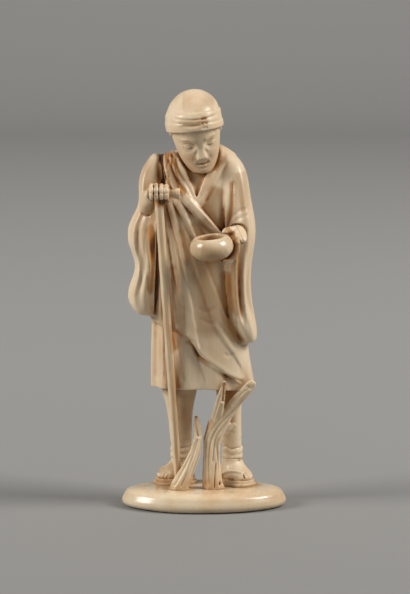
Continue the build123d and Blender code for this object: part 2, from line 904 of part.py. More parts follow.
with BuildPart() as right_hand:
    for number in range(finger_count):
        finger_x = first_finger_x + number * finger_pitch
        reach = finger_bend * (1 - 0.05 * abs(number - 1))
        finger_centre = Plane((finger_x, crossbar_y, crossbar_z), x_dir=(0, 1, 0), z_dir=(-1, 0, 0))
        finger_start = Plane(finger_centre.from_local_coords((reach, 0, 0)))
        with BuildSketch(finger_start, mode=Mode.PRIVATE) as tip:
            Circle(finger_radius)
        revolve(tip.sketch, Axis(finger_centre.origin, (1, 0, 0)), revolution_arc=finger_curl)
        with Locations((finger_x, *finger_end(reach))):
            Sphere(finger_radius)
    loft(limb_rings(right_hand_stations))
    with Locations(right_wrist):
        Sphere(1.02 * wrist_radius)
    loft(limb_rings(right_thumb_stations))
    with Locations(right_thumb_end):
        Sphere(thumb_radius)
    with BuildSketch(crossbar_frame.offset(-cut_overrun)):
        Circle(crossbar_radius + grip_fit)
    extrude(amount=3 * cut_overrun, mode=Mode.SUBTRACT)
    with BuildSketch(Plane(origin=staff_head, z_dir=-staff_run)):
        RegularPolygon(staff_top_radius + grip_fit, 8)
    extrude(amount=cut_overrun, mode=Mode.SUBTRACT)
    split(bisect_by=right_wrist_seat, keep=Keep.TOP)
    with Locations(-right_wrist_seat):
        Hole(peg_hole_radius, hole_reach)
right_hand.part.label = "right_hand"
export_step(right_hand.part, "parts/right_hand.step")

# Round bowl with a thick, drawn-in lip, turned about its own leaning axis
bowl_side = Plane(bowl_frame.origin, x_dir=bowl_frame.x_dir, z_dir=-bowl_frame.y_dir)
bowl_axis = Axis(bowl_frame.origin, bowl_frame.z_dir)
with BuildPart() as bowl:
    with BuildSketch(bowl_side) as bowl_profile:
        with BuildLine():
            lip = (bowl_mouth_radius + bowl_wall / 2, bowl_height)
            belly = (bowl_radius, 0.5 * bowl_height)
            inner_lip = (bowl_mouth_radius, bowl_height - bowl_wall / 2)
            inner_side = (bowl_radius - bowl_wall, 0.5 * bowl_height)
            inner_foot = (0, bowl_wall)
            Line((0, 0), (bowl_foot_radius, 0))
            Spline((bowl_foot_radius, 0), belly, lip, tangents=[(1, 0.3), (-1, 0.25)])
            ThreePointArc(
                lip,
                (bowl_mouth_radius + 0.15 * bowl_wall, bowl_height - 0.15 * bowl_wall),
                inner_lip,
            )
            Spline(inner_lip, inner_side, inner_foot, tangents=[(0.6, -1), (-1, 0)])
            Line(inner_foot, (0, 0))
        make_face()
    revolve(axis=bowl_axis)
    with Locations(bowl_pin_seat):
        Hole(bowl_pin_radius + peg_fit, bowl_pin_reach + peg_fit)
bowl.part.label = "bowl"
export_step(bowl.part, "parts/bowl.step")

# Space that the bowl takes up in the hand, its outside grown by a narrow gap
with BuildPart() as bowl_room:
    with BuildSketch(bowl_side):
        with BuildLine():
            grown_foot = (bowl_foot_radius, -bowl_gap)
            grown_belly = (bowl_radius + bowl_gap, 0.5 * bowl_height)
            grown_lip = (bowl_mouth_radius + bowl_wall / 2, bowl_height + bowl_gap)
            Line((0, -bowl_gap), grown_foot)
            Spline(grown_foot, grown_belly, grown_lip, tangents=[(1, 0.3), (-1, 0.25)])
            Line(grown_lip, (0, bowl_height + bowl_gap))
            Line((0, bowl_height + bowl_gap), (0, -bowl_gap))
        make_face()
    revolve(axis=bowl_axis)

# Left hand: fingers down the side and under the bowl, the thumb over its lip
finger_round = bowl_radius + 0.9 * finger_radius
bowl_edge_x = bowl_x + finger_round
bowl_lip_z = bowl_z + bowl_height
palm_z = left_wrist_z - 0.3 * palm_radius
left_wrist = (left_wrist_x, left_wrist_y, left_wrist_z)
palm = (bowl_edge_x + 0.6 * finger_radius, left_wrist_y - palm_reach, palm_z)
palm_end = (bowl_edge_x, bowl_y + 1.6 * finger_pitch, bowl_lip_z - palm_radius)
left_thumb_root = (left_wrist_x, left_wrist_y - 0.6 * palm_reach, left_wrist_z)
left_thumb_bend = (
    bowl_edge_x - 1.2 * palm_radius,
    bowl_y + 2.2 * palm_radius,
    bowl_lip_z + 1.1 * thumb_radius,
)
left_thumb_end = (
    bowl_edge_x - 1.7 * palm_radius,
    bowl_y + 0.7 * palm_radius,
    bowl_lip_z + 0.8 * thumb_radius,
)
left_hand_stations = [
    (left_wrist, (-0.18, -0.95, -0.12), left_wrist_radius, left_wrist_radius),
    (palm, (0, -0.95, -0.3), 0.85 * palm_radius, 1.05 * palm_radius),
    (palm_end, (0, -0.95, -0.3), 0.45 * palm_radius, 1.15 * palm_radius),
]
left_thumb_stations = [
    (left_thumb_root, (-0.5, -0.8, 0.2), 1.6 * thumb_radius, 1.6 * thumb_radius),
    (left_thumb_bend, (-0.5, -0.85, 0.1), 1.15 * thumb_radius, 1.15 * thumb_radius),
    (left_thumb_end, (-0.4, -0.9, -0.1), thumb_radius, thumb_radius),
]
with BuildPart() as left_hand:
    loft(limb_rings(left_hand_stations))
    loft(limb_rings(left_thumb_stations))
    with Locations(left_thumb_end):
        Sphere(thumb_radius)
    for number in range(finger_count):
        offset_y = (number + 0.2) * 1.05 * finger_pitch
        chord = math.sqrt(finger_round**2 - offset_y**2)
        with BuildLine() as finger_line:
            Spline(
                (bowl_x + chord, bowl_y + offset_y, bowl_z + 0.7 * bowl_height),
                (bowl_x + 0.99 * chord, bowl_y + offset_y, bowl_z + 0.4 * bowl_height),
                (bowl_x + 0.78 * chord, bowl_y + offset_y, bowl_z + 0.02 * bowl_height),
                (bowl_x + 0.45 * chord, bowl_y + offset_y, bowl_z - 0.8 * finger_radius),
            )
        with BuildSketch(finger_line.line ^ 0, mode=Mode.PRIVATE) as finger_tip:
            Circle(finger_radius)
        sweep(finger_tip.sketch, path=finger_line.line)
        with Locations(finger_line.line @ 0, finger_line.line @ 1):
            Sphere(finger_radius)
    add(bowl_room.part, mode=Mode.SUBTRACT)
    split(bisect_by=left_wrist_seat, keep=Keep.TOP)
    with Locations(-left_wrist_seat):
        Hole(peg_hole_radius, hole_reach)
    with Locations(-bowl_pin_seat):
        Hole(bowl_pin_radius + peg_fit, bowl_pin_reach + peg_fit)
left_hand.part.label = "left_hand"
export_step(left_hand.part, "parts/left_hand.step")


def leg_rings(shares, ankle, hip):
    """Level rings of a leg that leans from its ankle seat to its hip seat."""
    rings = []
    for height, half_width, half_depth in shares:
        plane = Plane(ankle + height * (hip - ankle))
        width = half_width * leg_width
        depth = half_depth * leg_depth
        rings.append(ring_face(plane, width, width, depth, depth, fullness=0.95))
    return rings


# Legs with a gaiter above each ankle
for name, shares, hip_seat, ankle_seat in (
    ("right_leg", right_leg_shares, right_hip_seat, right_ankle_seat),
    ("left_leg", left_leg_shares, left_hip_seat, left_ankle_seat),
):
    with BuildPart() as leg:
        loft(leg_rings(shares, ankle_seat.origin, hip_seat.origin))
        ankle_width = shares[0][1] * leg_width
        ankle_depth = shares[0][2] * leg_depth
        with BuildSketch(Plane(ankle_seat.origin)):
            Ellipse(ankle_width + gaiter_thickness, ankle_depth + gaiter_thickness)
        extrude(amount=gaiter_height, taper=gaiter_taper)
        with Locations(-hip_seat):
            Hole(thick_hole_radius, long_hole_reach)
        with Locations(ankle_seat):
            Hole(peg_hole_radius, hole_reach)
    leg.part.label = name
    export_step(leg.part, f"parts/{name}.step")

# Feet in thonged sandals with a stepped sole
foot_height = leg_foot_height - base_thickness - 2 * sole_thickness
for name, frame, ankle_seat in (
    ("right_foot", right_foot_frame, right_ankle_seat),
    ("left_foot", left_foot_frame, left_ankle_seat),
):
    foot_level = frame.offset(2 * sole_thickness)
    with BuildPart() as foot:
        for step in range(2):
            half_sole = sole_width / 2 - step * sole_step
            tread = ring_face(
                frame.offset(step * sole_thickness),
                half_sole,
                half_sole,
                sole_front - step * sole_step,
                sole_back - step * sole_step,
                fullness=0.8,
            )
            extrude(tread, amount=sole_thickness)
        rings = []
        for height, half_width, front, back in foot_shares:
            rings.append(
                ring_face(
                    foot_level.offset(height * foot_height),
                    half_width * foot_width,
                    half_width * foot_width,
                    front * foot_front,
                    back * foot_back,
                    fullness=0.9,
                )
            )
        loft(rings)
        with BuildSketch(foot_level):
            with Locations((toe_slit_x, -foot_front)):
                Rectangle(toe_slit, toe_slit_length)
        extrude(amount=foot_height / 2, mode=Mode.SUBTRACT)
        for side in (-1, 1):
            strap_points = []
            for x, y, z in strap_shares:
                strap_points.append(
                    frame.from_local_coords(
                        (
                            toe_slit_x * (1 - abs(x)) + side * x * foot_width,
                            y * foot_front,
                            2 * sole_thickness + z * foot_height,
                        )
                    )
                )
            with BuildLine() as strap_line:
                Spline(*strap_points)
            with BuildSketch(strap_line.line ^ 0, mode=Mode.PRIVATE) as strap:
                Circle(strap_radius)
            sweep(strap.sketch, path=strap_line.line)
        with Locations(frame):
            with Locations(*foot_peg_places):
                Hole(peg_hole_radius, hole_reach)
        with Locations(-ankle_seat):
            Hole(peg_hole_radius, hole_reach)
    foot.part.label = name
    export_step(foot.part, f"parts/{name}.step")

# Short leaning stump
short_sizes = (short_stump_place, short_stump_width, short_stump_height, short_flat_share)
with BuildPart() as stump_short:
    loft(stick_rings(short_stump_shares, *short_sizes), ruled=True)
    with Locations(short_stump_place):
        Hole(peg_hole_radius, hole_reach)
stump_short.part.label = "stump_short"
export_step(stump_short.part, "parts/stump_short.step")

# Forked stump with an upright branch, a chopped branch, a twig and a split in its foot
forked_sizes = (forked_stump_place, forked_stump_width, forked_stump_height, forked_flat_share)
with BuildPart() as stump_forked:
    loft(stick_rings(trunk_shares, *forked_sizes), ruled=True)
    loft(stick_rings(upright_branch_shares, *forked_sizes), ruled=True)
    loft(stick_rings(big_branch_shares, *forked_sizes), ruled=True)
    loft(stick_rings(twig_shares, *forked_sizes, 5), ruled=True)
    with BuildSketch(Plane.XZ.offset(-forked_stump_y)):
        with BuildLine():
            Polyline(
                (split_x, base_thickness),
                (split_x + split_width, base_thickness),
                (split_x - split_lean, base_thickness + split_height),
                close=True,
            )
        make_face()
    extrude(amount=forked_stump_width, mode=Mode.SUBTRACT)
    with Locations(forked_stump_place):
        with Locations(*forked_peg_places):
            Hole(peg_hole_radius, hole_reach)
stump_forked.part.label = "stump_forked"
export_step(stump_forked.part, "parts/stump_forked.step")

# Pegs that hold the pieces together, out of sight in their holes
single_place = ((0, 0),)
forked_foot_seat = Plane(forked_stump_place)
short_foot_seat = Plane(short_stump_place)
for name, seat, places, radius, reach in (
    ("neck_peg", neck_seat, single_place, thick_peg_radius, long_peg_reach),
    ("right_sleeve_pegs", right_sleeve_seat, sleeve_peg_places, thick_peg_radius, sleeve_peg_reach),
    ("left_sleeve_pegs", left_sleeve_seat, sleeve_peg_places, thick_peg_radius, sleeve_peg_reach),
    ("right_wrist_peg", right_wrist_seat, single_place, peg_radius, peg_reach),
    ("left_wrist_peg", left_wrist_seat, single_place, peg_radius, peg_reach),
    ("bowl_pin", bowl_pin_seat, single_place, bowl_pin_radius, bowl_pin_reach),
    ("right_hip_peg", right_hip_seat, single_place, thick_peg_radius, long_peg_reach),
    ("left_hip_peg", left_hip_seat, single_place, thick_peg_radius, long_peg_reach),
    ("right_ankle_peg", right_ankle_seat, single_place, peg_radius, peg_reach),
    ("left_ankle_peg", left_ankle_seat, single_place, peg_radius, peg_reach),
    ("right_foot_pegs", right_foot_frame, foot_peg_places, peg_radius, peg_reach),
    ("left_foot_pegs", left_foot_frame, foot_peg_places, peg_radius, peg_reach),
    ("stump_short_peg", short_foot_seat, single_place, peg_radius, peg_reach),
    ("stump_forked_pegs", forked_foot_seat, forked_peg_places, peg_radius, peg_reach),
):
    with BuildPart(seat) as pegs:
        with Locations(*places):
            Cylinder(radius, 2 * reach)
    pegs.part.label = name
    export_step(pegs.part, f"parts/{name}.step")
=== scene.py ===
import math

import bpy
import numpy as np
from mathutils import Matrix, Vector
from mathutils.bvhtree import BVHTree
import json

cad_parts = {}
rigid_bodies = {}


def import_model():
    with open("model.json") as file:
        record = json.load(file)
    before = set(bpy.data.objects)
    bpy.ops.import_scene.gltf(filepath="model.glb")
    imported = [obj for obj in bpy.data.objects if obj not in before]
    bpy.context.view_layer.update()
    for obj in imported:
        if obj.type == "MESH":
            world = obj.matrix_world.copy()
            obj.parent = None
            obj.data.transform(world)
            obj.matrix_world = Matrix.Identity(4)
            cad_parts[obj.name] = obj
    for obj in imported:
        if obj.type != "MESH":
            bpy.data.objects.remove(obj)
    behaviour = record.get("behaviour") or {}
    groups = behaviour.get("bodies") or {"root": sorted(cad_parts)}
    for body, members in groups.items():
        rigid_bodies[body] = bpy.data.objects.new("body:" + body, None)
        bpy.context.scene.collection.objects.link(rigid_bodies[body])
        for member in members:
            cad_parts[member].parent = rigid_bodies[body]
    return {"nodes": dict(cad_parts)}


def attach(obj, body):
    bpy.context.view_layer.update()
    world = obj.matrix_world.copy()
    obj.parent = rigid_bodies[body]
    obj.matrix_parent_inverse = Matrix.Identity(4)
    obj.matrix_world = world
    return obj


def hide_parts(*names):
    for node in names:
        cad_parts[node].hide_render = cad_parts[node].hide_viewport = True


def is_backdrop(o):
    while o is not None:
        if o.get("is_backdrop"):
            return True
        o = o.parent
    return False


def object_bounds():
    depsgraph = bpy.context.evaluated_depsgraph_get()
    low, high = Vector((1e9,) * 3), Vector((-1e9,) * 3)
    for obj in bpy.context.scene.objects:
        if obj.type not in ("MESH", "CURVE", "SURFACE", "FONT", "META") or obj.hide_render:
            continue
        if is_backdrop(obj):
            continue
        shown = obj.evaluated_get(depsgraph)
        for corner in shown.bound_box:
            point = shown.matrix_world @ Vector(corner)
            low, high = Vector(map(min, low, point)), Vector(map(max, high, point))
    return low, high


# Carved ivory figure with a staff and a bowl, on an oval slab with two tree stumps.
# X runs to the viewer's right, Y away from the viewer and Z up, in metres.
# Lengths that are written as so many MM are millimetres.
# Left and right in the names are the figure's own.

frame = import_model()
cad_low, cad_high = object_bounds()
MM = 0.001

# Size of the small faces that a piece is carved in
GARMENT_GRAIN = 0.42 * MM
HEAD_GRAIN = 0.28 * MM
HAND_GRAIN = 0.2 * MM
FINE_HAND_GRAIN = 0.19 * MM
LEG_GRAIN = 0.35 * MM
FOOT_GRAIN = 0.25 * MM
STUMP_GRAIN = 0.28 * MM
BASE_GRAIN = 0.5 * MM
BOWL_GRAIN = 0.25 * MM
STAFF_GRAIN = 0.22 * MM
CROSSBAR_GRAIN = 0.2 * MM


# ---- Handling of pieces


def choose(*pieces):
    """Selects these pieces only, the first one active."""
    bpy.ops.object.select_all(action="DESELECT")
    for piece in pieces:
        piece.select_set(True)
    bpy.context.view_layer.objects.active = pieces[0]


def switch(mode):
    """Goes over to edit mode or object mode."""
    bpy.ops.object.mode_set(mode=mode)


def add_object(name, data):
    """A new object in the scene."""
    added = bpy.data.objects.new(name, data)
    bpy.context.scene.collection.objects.link(added)
    return added


def copy_of(name, *nodes):
    """One new piece from copies of CAD nodes, their loose triangles merged."""
    copies = [add_object(node + "_copy", frame["nodes"][node].data.copy()) for node in nodes]
    choose(*copies)
    if len(copies) > 1:
        bpy.ops.object.join()
    piece = copies[0]
    piece.name = name
    piece.data.name = name
    piece.data.materials.clear()
    switch("EDIT")
    bpy.ops.mesh.select_all(action="SELECT")
    bpy.ops.mesh.remove_doubles(threshold=0.002 * MM)
    bpy.ops.mesh.customdata_custom_splitnormals_clear()
    switch("OBJECT")
    return piece


def apply_modifier(piece, kind, **settings):
    """Adds one modifier with its settings and applies it."""
    choose(piece)
    modifier = piece.modifiers.new(kind.lower(), kind)
    for setting, value in settings.items():
        setattr(modifier, setting, value)
    bpy.ops.object.modifier_apply(modifier=modifier.name)


def make_clay(piece, grain_size, softening):
    """Turns a piece into one even skin of small faces that can be carved."""
    apply_modifier(piece, "REMESH", mode="VOXEL", voxel_size=grain_size, use_smooth_shade=True)
    keep_outer_skin(piece)
    if softening:
        apply_modifier(piece, "SMOOTH", factor=0.5, iterations=softening)


def clay_of(node, grain_size, softening):
    """One CAD node as a piece that can be carved."""
    piece = copy_of("carved_" + node, node)
    make_clay(piece, grain_size, softening)
    return piece


def keep_outer_skin(piece):
    """Deletes the walls of closed hollows that a remesh leaves inside."""
    points = points_of(piece)
    choose(piece)
    switch("EDIT")
    bpy.ops.mesh.select_all(action="DESELECT")
    switch("OBJECT")
    piece.data.vertices[int(points[:, 2].argmax())].select = True
    switch("EDIT")
    bpy.ops.mesh.select_mode(type="VERT")
    bpy.ops.mesh.select_linked()
    bpy.ops.mesh.select_all(action="INVERT")
    bpy.ops.mesh.delete(type="VERT")
    switch("OBJECT")


def table_of(rows, field, width, kind):
    """One field of all vertices or edges as a table."""
    values = np.empty(len(rows) * width, kind)
    rows.foreach_get(field, values)
    return values.reshape(-1, width)


def points_of(piece):
    """Every vertex as millimetres."""
    return table_of(piece.data.vertices, "co", 3, np.float32).astype(float) / MM


def normals_of(piece):
    """The outward direction at every vertex."""
    return table_of(piece.data.vertices, "normal", 3, np.float32).astype(float)


def edges_of(piece):
    """The two vertices of every edge."""
    return table_of(piece.data.edges, "vertices", 2, np.int32)


def place_points(piece, points):
    """Puts the vertices where these millimetres say."""
    piece.data.vertices.foreach_set("co", (points * MM).astype(np.float32).ravel())
    piece.data.update()


def even_out(values, edges, rounds):
    """Averages values with their neighbours along the edges."""
    one_end = np.concatenate([edges[:, 0], edges[:, 1]])
    other_end = np.concatenate([edges[:, 1], edges[:, 0]])
    count = np.maximum(np.bincount(one_end, minlength=len(values)), 1)
    smoothed = values.reshape(len(values), -1).astype(float)
    for _ in range(rounds):
        for column in range(smoothed.shape[1]):
            total = np.bincount(one_end, weights=smoothed[other_end, column], minlength=len(values))
            smoothed[:, column] = 0.5 * smoothed[:, column] + 0.5 * total / count
    return smoothed.reshape(values.shape)


def push(piece, depths, calm=0):
    """Moves each vertex outwards by its own depth in millimetres, along calmed directions."""
    normals = normals_of(piece)
    if calm:
        normals = even_out(normals, edges_of(piece), calm)
        normals /= np.maximum(np.linalg.norm(normals, axis=1), 1e-6)[:, None]
    place_points(piece, points_of(piece) + normals * depths[:, None])


def melt(piece, share, rounds):
    """Smooths away what lies in one region, given as a share per vertex."""
    points = points_of(piece)
    soft = even_out(points, edges_of(piece), rounds)
    place_points(piece, points + share[:, None] * (soft - points))


# ---- Carving


def ease(value, low, high):
    """From 0 below low to 1 above high, with soft ends."""
    share = np.clip((value - low) / (high - low), 0, 1)
    return share * share * (3 - 2 * share)


def bell(value, centre, width):
    """1 at the centre, falling softly to 0 on both sides."""
    return np.exp(-(((value - centre) / width) ** 2))


def curve_through(corners, steps=8):
    """A smooth line through drawn corners."""
    corners = np.array(corners, float)
    first = 2 * corners[0] - corners[1]
    last = 2 * corners[-1] - corners[-2]
    fixed = np.vstack([first, corners, last])
    line = []
    for index in range(1, len(fixed) - 2):
        a, b, c, d = fixed[index - 1 : index + 3]
        for step in range(steps):
            t = step / steps
            bend = (2 * a - 5 * b + 4 * c - d) * t**2 + (3 * b - a - 3 * c + d) * t**3
            line.append(0.5 * (2 * b + (c - a) * t + bend))
    line.append(corners[-1])
    return np.array(line)


def near_line(across, up, corners):
    """Signed distance to a drawn line, positive on its left, and the share of its length."""
    line = curve_through(corners)
    runs = np.linalg.norm(np.diff(line, axis=0), axis=1)
    starts = np.concatenate([[0], np.cumsum(runs)])
    nearest = np.full(len(across), np.inf)
    signed = np.zeros(len(across))
    along = np.zeros(len(across))
    for index in range(len(line) - 1):
        a = line[index]
        run = line[index + 1] - a
        share = np.clip(((across - a[0]) * run[0] + (up - a[1]) * run[1]) / max(run @ run, 1e-9), 0, 1)
        off_across = across - a[0] - share * run[0]
        off_up = up - a[1] - share * run[1]
        distance = np.hypot(off_across, off_up)
        closer = distance < nearest
        nearest = np.where(closer, distance, nearest)
        side = np.sign(run[0] * off_up - run[1] * off_across)
        signed = np.where(closer, distance * np.where(side == 0, 1, side), signed)
        along = np.where(closer, (starts[index] + share * runs[index]) / starts[-1], along)
    return signed, along


def ends(along, start_fade, end_fade):
    """Fades a stroke out at its two ends."""
    fade = np.ones_like(along)
    if start_fade:
        fade = fade * ease(along, 0, start_fade)
    if end_fade:
        fade = fade * (1 - ease(along, 1 - end_fade, 1))
    return fade


def groove(across, up, corners, depth, width, start_fade=0.15, end_fade=0.15):
    """A cut line with sloping sides."""
    signed, along = near_line(across, up, corners)
    return -depth * bell(signed, 0, width) * ends(along, start_fade, end_fade)


def lapped_edge(across, up, corners, rise, reach, cut, cut_width, start_fade=0.1, end_fade=0.1):
    """The edge of a cloth that lies on another: raised on the left, undercut on the right."""
    signed, along = near_line(across, up, corners)
    raised = rise * ease(signed, -0.25, 0.45) * np.exp(-((np.maximum(signed, 0) / reach) ** 2))
    undercut = -cut * bell(signed, -0.35, cut_width) * (signed < 0.6)
    return (raised + undercut) * ends(along, start_fade, end_fade)


def mound(across, up, centre, size, rise):
    """A soft rise, or a hollow where the rise is negative."""
    return rise * np.exp(-(((across - centre[0]) / size[0]) ** 2) - ((up - centre[1]) / size[1]) ** 2)


def select_faces(piece, test):
    """Selects the faces whose centre and direction pass a test, in edit mode."""
    switch("EDIT")
    bpy.ops.mesh.select_mode(type="FACE")
    bpy.ops.mesh.select_all(action="DESELECT")
    switch("OBJECT")
    for face in piece.data.polygons:
        face.select = test(face.center / MM, face.normal)
    switch("EDIT")


def blank(name, sides, radius, height, place):
    """A plain round blank that stands on its place, in millimetres."""
    bpy.ops.object.select_all(action="DESELECT")
    centre = Vector(place) * MM + Vector((0, 0, height * MM / 2))
    bpy.ops.mesh.primitive_cylinder_add(vertices=sides, radius=radius * MM, depth=height * MM, location=centre)
    piece = bpy.context.object
    piece.name = name
    piece.data.name = name
    bpy.ops.object.transform_apply(location=True, rotation=True, scale=True)
    return piece


def planed_rod(name, start, end, start_radius, end_radius, sides, roll):
    """A rod with flat facets that tapers between two places."""
    start, end = Vector(start), Vector(end)
    rod = blank(name, sides, start_radius, (end - start).length, (0, 0, 0))
    select_faces(rod, lambda centre, normal: normal.z > 0.9)
    bpy.ops.transform.resize(value=(end_radius / start_radius,) * 2 + (1,), center_override=(0, 0, 0))
    switch("OBJECT")
    select_faces(rod, lambda centre, normal: abs(normal.z) < 0.5)
    bpy.ops.mesh.select_mode(type="EDGE")
    bpy.ops.mesh.bevel(offset=0.18 * MM, segments=2)
    switch("OBJECT")
    heading = (end - start).to_track_quat("Z", "Y").to_matrix().to_4x4()
    rod.data.transform(Matrix.Translation(start * MM) @ heading @ Matrix.Rotation(roll, 4, "Z"))
    return rod


# ---- Camera, floor and lights

target = Vector((0, 0, 92 * MM))
view_distance = 1.4
view_elevation = math.radians(8.5)
photo_long_side = 594
photo_focal_length = 3284

camera_data = bpy.data.cameras.new("studio_camera")
camera = add_object("studio_camera", camera_data)
back = Vector((0, -math.cos(view_elevation), math.sin(view_elevation)))
camera.location = target + view_distance * back
camera.rotation_euler = (-back).to_track_quat("-Z", "Y").to_euler()
camera_data.sensor_width = 36
camera_data.lens = 36 * photo_focal_length / photo_long_side
camera_data.shift_x = 1.3 / photo_long_side
camera_data.shift_y = -3.5 / photo_long_side
camera_data.clip_start = 0.05
camera_data.clip_end = 20
bpy.context.scene.camera = camera

bpy.ops.object.select_all(action="DESELECT")
bpy.ops.mesh.primitive_plane_add(size=3)
floor = bpy.context.object
floor.name = "studio_floor"
floor.location = (0, 0.6, 0)
switch("EDIT")
bpy.ops.mesh.select_all(action="DESELECT")
switch("OBJECT")
for edge in floor.data.edges:
    edge.select = all(floor.data.vertices[v].co.y > 1.4 for v in edge.vertices)
switch("EDIT")
bpy.ops.mesh.select_mode(type="EDGE")
bpy.ops.mesh.extrude_region_move(TRANSFORM_OT_translate={"value": (0, 0, 2)})
switch("OBJECT")
apply_modifier(floor, "BEVEL", width=0.5, segments=16, limit_method="ANGLE")
bpy.ops.object.shade_smooth()
floor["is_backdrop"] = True

bpy.context.scene.view_settings.view_transform = "Standard"
world = bpy.data.worlds.new("studio_world")
bpy.context.scene.world = world
world.use_nodes = True
world.node_tree.nodes["Background"].inputs["Color"].default_value = (1.0, 0.98, 0.95, 1)
world.node_tree.nodes["Background"].inputs["Strength"].default_value = 0.17

for name, place, size, power in (
    ("left_softbox", (-1.30, -0.38, 0.80), 0.6, 19.0),
    ("right_softbox", (1.14, -0.30, 1.05), 0.6, 21.0),
    ("top_softbox", (0.0, 0.1, 1.5), 0.7, 1.8),
):
    light_data = bpy.data.lights.new(name, "AREA")
    light_data.shape = "SQUARE"
    light_data.size = size
    light_data.energy = power
    light_data.color = (1.0, 0.97, 0.93)
    light = add_object(name, light_data)
    light.location = place
    light.rotation_euler = (Vector(place) - Vector((0, 0, 0.1))).to_track_quat("Z", "Y").to_euler()


# ---- Finishes


def fill(tree, node, sockets):
    """Gives sockets of a node their values or links."""
    for socket, value in sockets.items():
        if isinstance(value, bpy.types.NodeSocket):
            tree.links.new(value, node.inputs[socket])
        else:
            node.inputs[socket].default_value = value


def put(tree, kind, sockets, **settings):
    """One shader node with its settings and its socket values or links."""
    node = tree.nodes.new(kind)
    for setting, value in settings.items():
        setattr(node, setting, value)
    fill(tree, node, sockets)
    return node


def new_group(name, inputs, outputs):
    """An empty shader node group with named sockets."""
    group = bpy.data.node_groups.new(name, "ShaderNodeTree")
    for socket, value in inputs:
        group.interface.new_socket(socket, in_out="INPUT", socket_type="NodeSocketFloat").default_value = value
    for socket in outputs:
        group.interface.new_socket(socket, in_out="OUTPUT", socket_type="NodeSocketFloat")
    entry = group.nodes.new("NodeGroupInput")
    leave = group.nodes.new("NodeGroupOutput")
    return group, entry, leave


def stretched_noise(tree, scale, stretch, detail=3.0, roughness=0.55):
    """Noise on the object's own coordinates, drawn out along Z."""
    place = put(tree, "ShaderNodeTexCoord", {})
    mapping = put(tree, "ShaderNodeMapping", {"Vector": place.outputs["Object"], "Scale": (1, 1, stretch)})
    sockets = {"Vector": mapping.outputs["Vector"], "Scale": scale, "Detail": detail, "Roughness": roughness}
    return put(tree, "ShaderNodeTexNoise", sockets).outputs["Fac"]


def math_node(tree, operation, first, second, clamp=False):
    """One sum on values."""
    sockets = {0: first, 1: second}
    return put(tree, "ShaderNodeMath", sockets, operation=operation, use_clamp=clamp).outputs[0]


def times(tree, first, second):
    """The product of two values."""
    return math_node(tree, "MULTIPLY", first, second)


def spread(tree, value, low, high):
    """Stretches the range from low to high over 0 to 1."""
    sockets = {"Value": value, "From Min": low, "From Max": high}
    return put(tree, "ShaderNodeMapRange", sockets, interpolation_type="SMOOTHSTEP").outputs["Result"]


def mix_colour(tree, share, first, second):
    """Two colours mixed by a share."""
    return put(tree, "ShaderNodeMix", {0: share, 6: first, 7: second}, data_type="RGBA").outputs[2]


# Long fine lines of growth in the tusk, broad clouds of tone and small open pores
grain_group, grain_in, grain_out = new_group(
    "ivory_grain", [("Line Scale", 1500)], ["Lines", "Clouds", "Pores", "Height"]
)
place = put(grain_group, "ShaderNodeTexCoord", {})
line_map = put(grain_group, "ShaderNodeMapping", {"Vector": place.outputs["Object"], "Scale": (1, 1, 0.05)})
line_sockets = {"Vector": line_map.outputs["Vector"], "Scale": grain_in.outputs["Line Scale"], "Detail": 3.0}
line_noise = put(grain_group, "ShaderNodeTexNoise", line_sockets).outputs["Fac"]
clouds = stretched_noise(grain_group, 95.0, 0.5, 4.0)
pore_cells = put(grain_group, "ShaderNodeTexVoronoi", {"Vector": place.outputs["Object"], "Scale": 420.0})
pore_choice = stretched_noise(grain_group, 60.0, 1.0)
pore_spots = math_node(grain_group, "SUBTRACT", 1.0, spread(grain_group, pore_cells.outputs["Distance"], 0.05, 0.16))
pores = times(grain_group, pore_spots, spread(grain_group, pore_choice, 0.56, 0.66))
low_lines, deep_pores = times(grain_group, line_noise, 0.35), times(grain_group, pores, 0.6)
fine_height = math_node(grain_group, "SUBTRACT", low_lines, deep_pores)
fill(grain_group, grain_out, {"Lines": line_noise, "Clouds": clouds, "Pores": pores, "Height": fine_height})

# Amber stain in sheltered places; brown in the deepest cuts, which is dirt and painted shade; pale rubbed ridges,
# which are wear and painted highlight; and a brown that grows with shelter, which is patina and painted shade
stain_and_shade_inputs = [("Recess", 0), ("Crease", 0.5), ("Amount", 1)]
stain_and_shade_group, stain_and_shade_in, stain_and_shade_out = new_group(
    "age_stain_and_shade", stain_and_shade_inputs, ["Amber", "Brown Dirt And Shade", "Rubbed And Highlight", "Flush", "Patina And Shade"]
)
patch = stretched_noise(stain_and_shade_group, 140.0, 0.35, 4.0)
broad_patch = stretched_noise(stain_and_shade_group, 38.0, 0.6, 2.0)
patch_shift = times(stain_and_shade_group, math_node(stain_and_shade_group, "SUBTRACT", patch, 0.5), 0.55)
sheltered = math_node(stain_and_shade_group, "ADD", stain_and_shade_in.outputs["Recess"], patch_shift)
cut = math_node(stain_and_shade_group, "SUBTRACT", stain_and_shade_in.outputs["Crease"], 0.5)
cut_and_shelter = math_node(stain_and_shade_group, "ADD", sheltered, times(stain_and_shade_group, cut, 1.5))
amber = times(stain_and_shade_group, spread(stain_and_shade_group, cut_and_shelter, 0.30, 0.86), stain_and_shade_in.outputs["Amount"])
# Brown: dirt in the deepest cuts together with painted shade there
deep_cut = math_node(stain_and_shade_group, "ADD", sheltered, times(stain_and_shade_group, cut, 2.4))
brown_dirt_and_shade = times(stain_and_shade_group, spread(stain_and_shade_group, deep_cut, 0.85, 1.5), stain_and_shade_in.outputs["Amount"])
# Rubbed: pale convex ridges, rubbed wear together with a painted highlight
rubbed_and_highlight = spread(stain_and_shade_group, times(stain_and_shade_group, cut, -1.0), 0.03, 0.35)
flush = times(stain_and_shade_group, spread(stain_and_shade_group, broad_patch, 0.48, 0.72), stain_and_shade_in.outputs["Amount"])
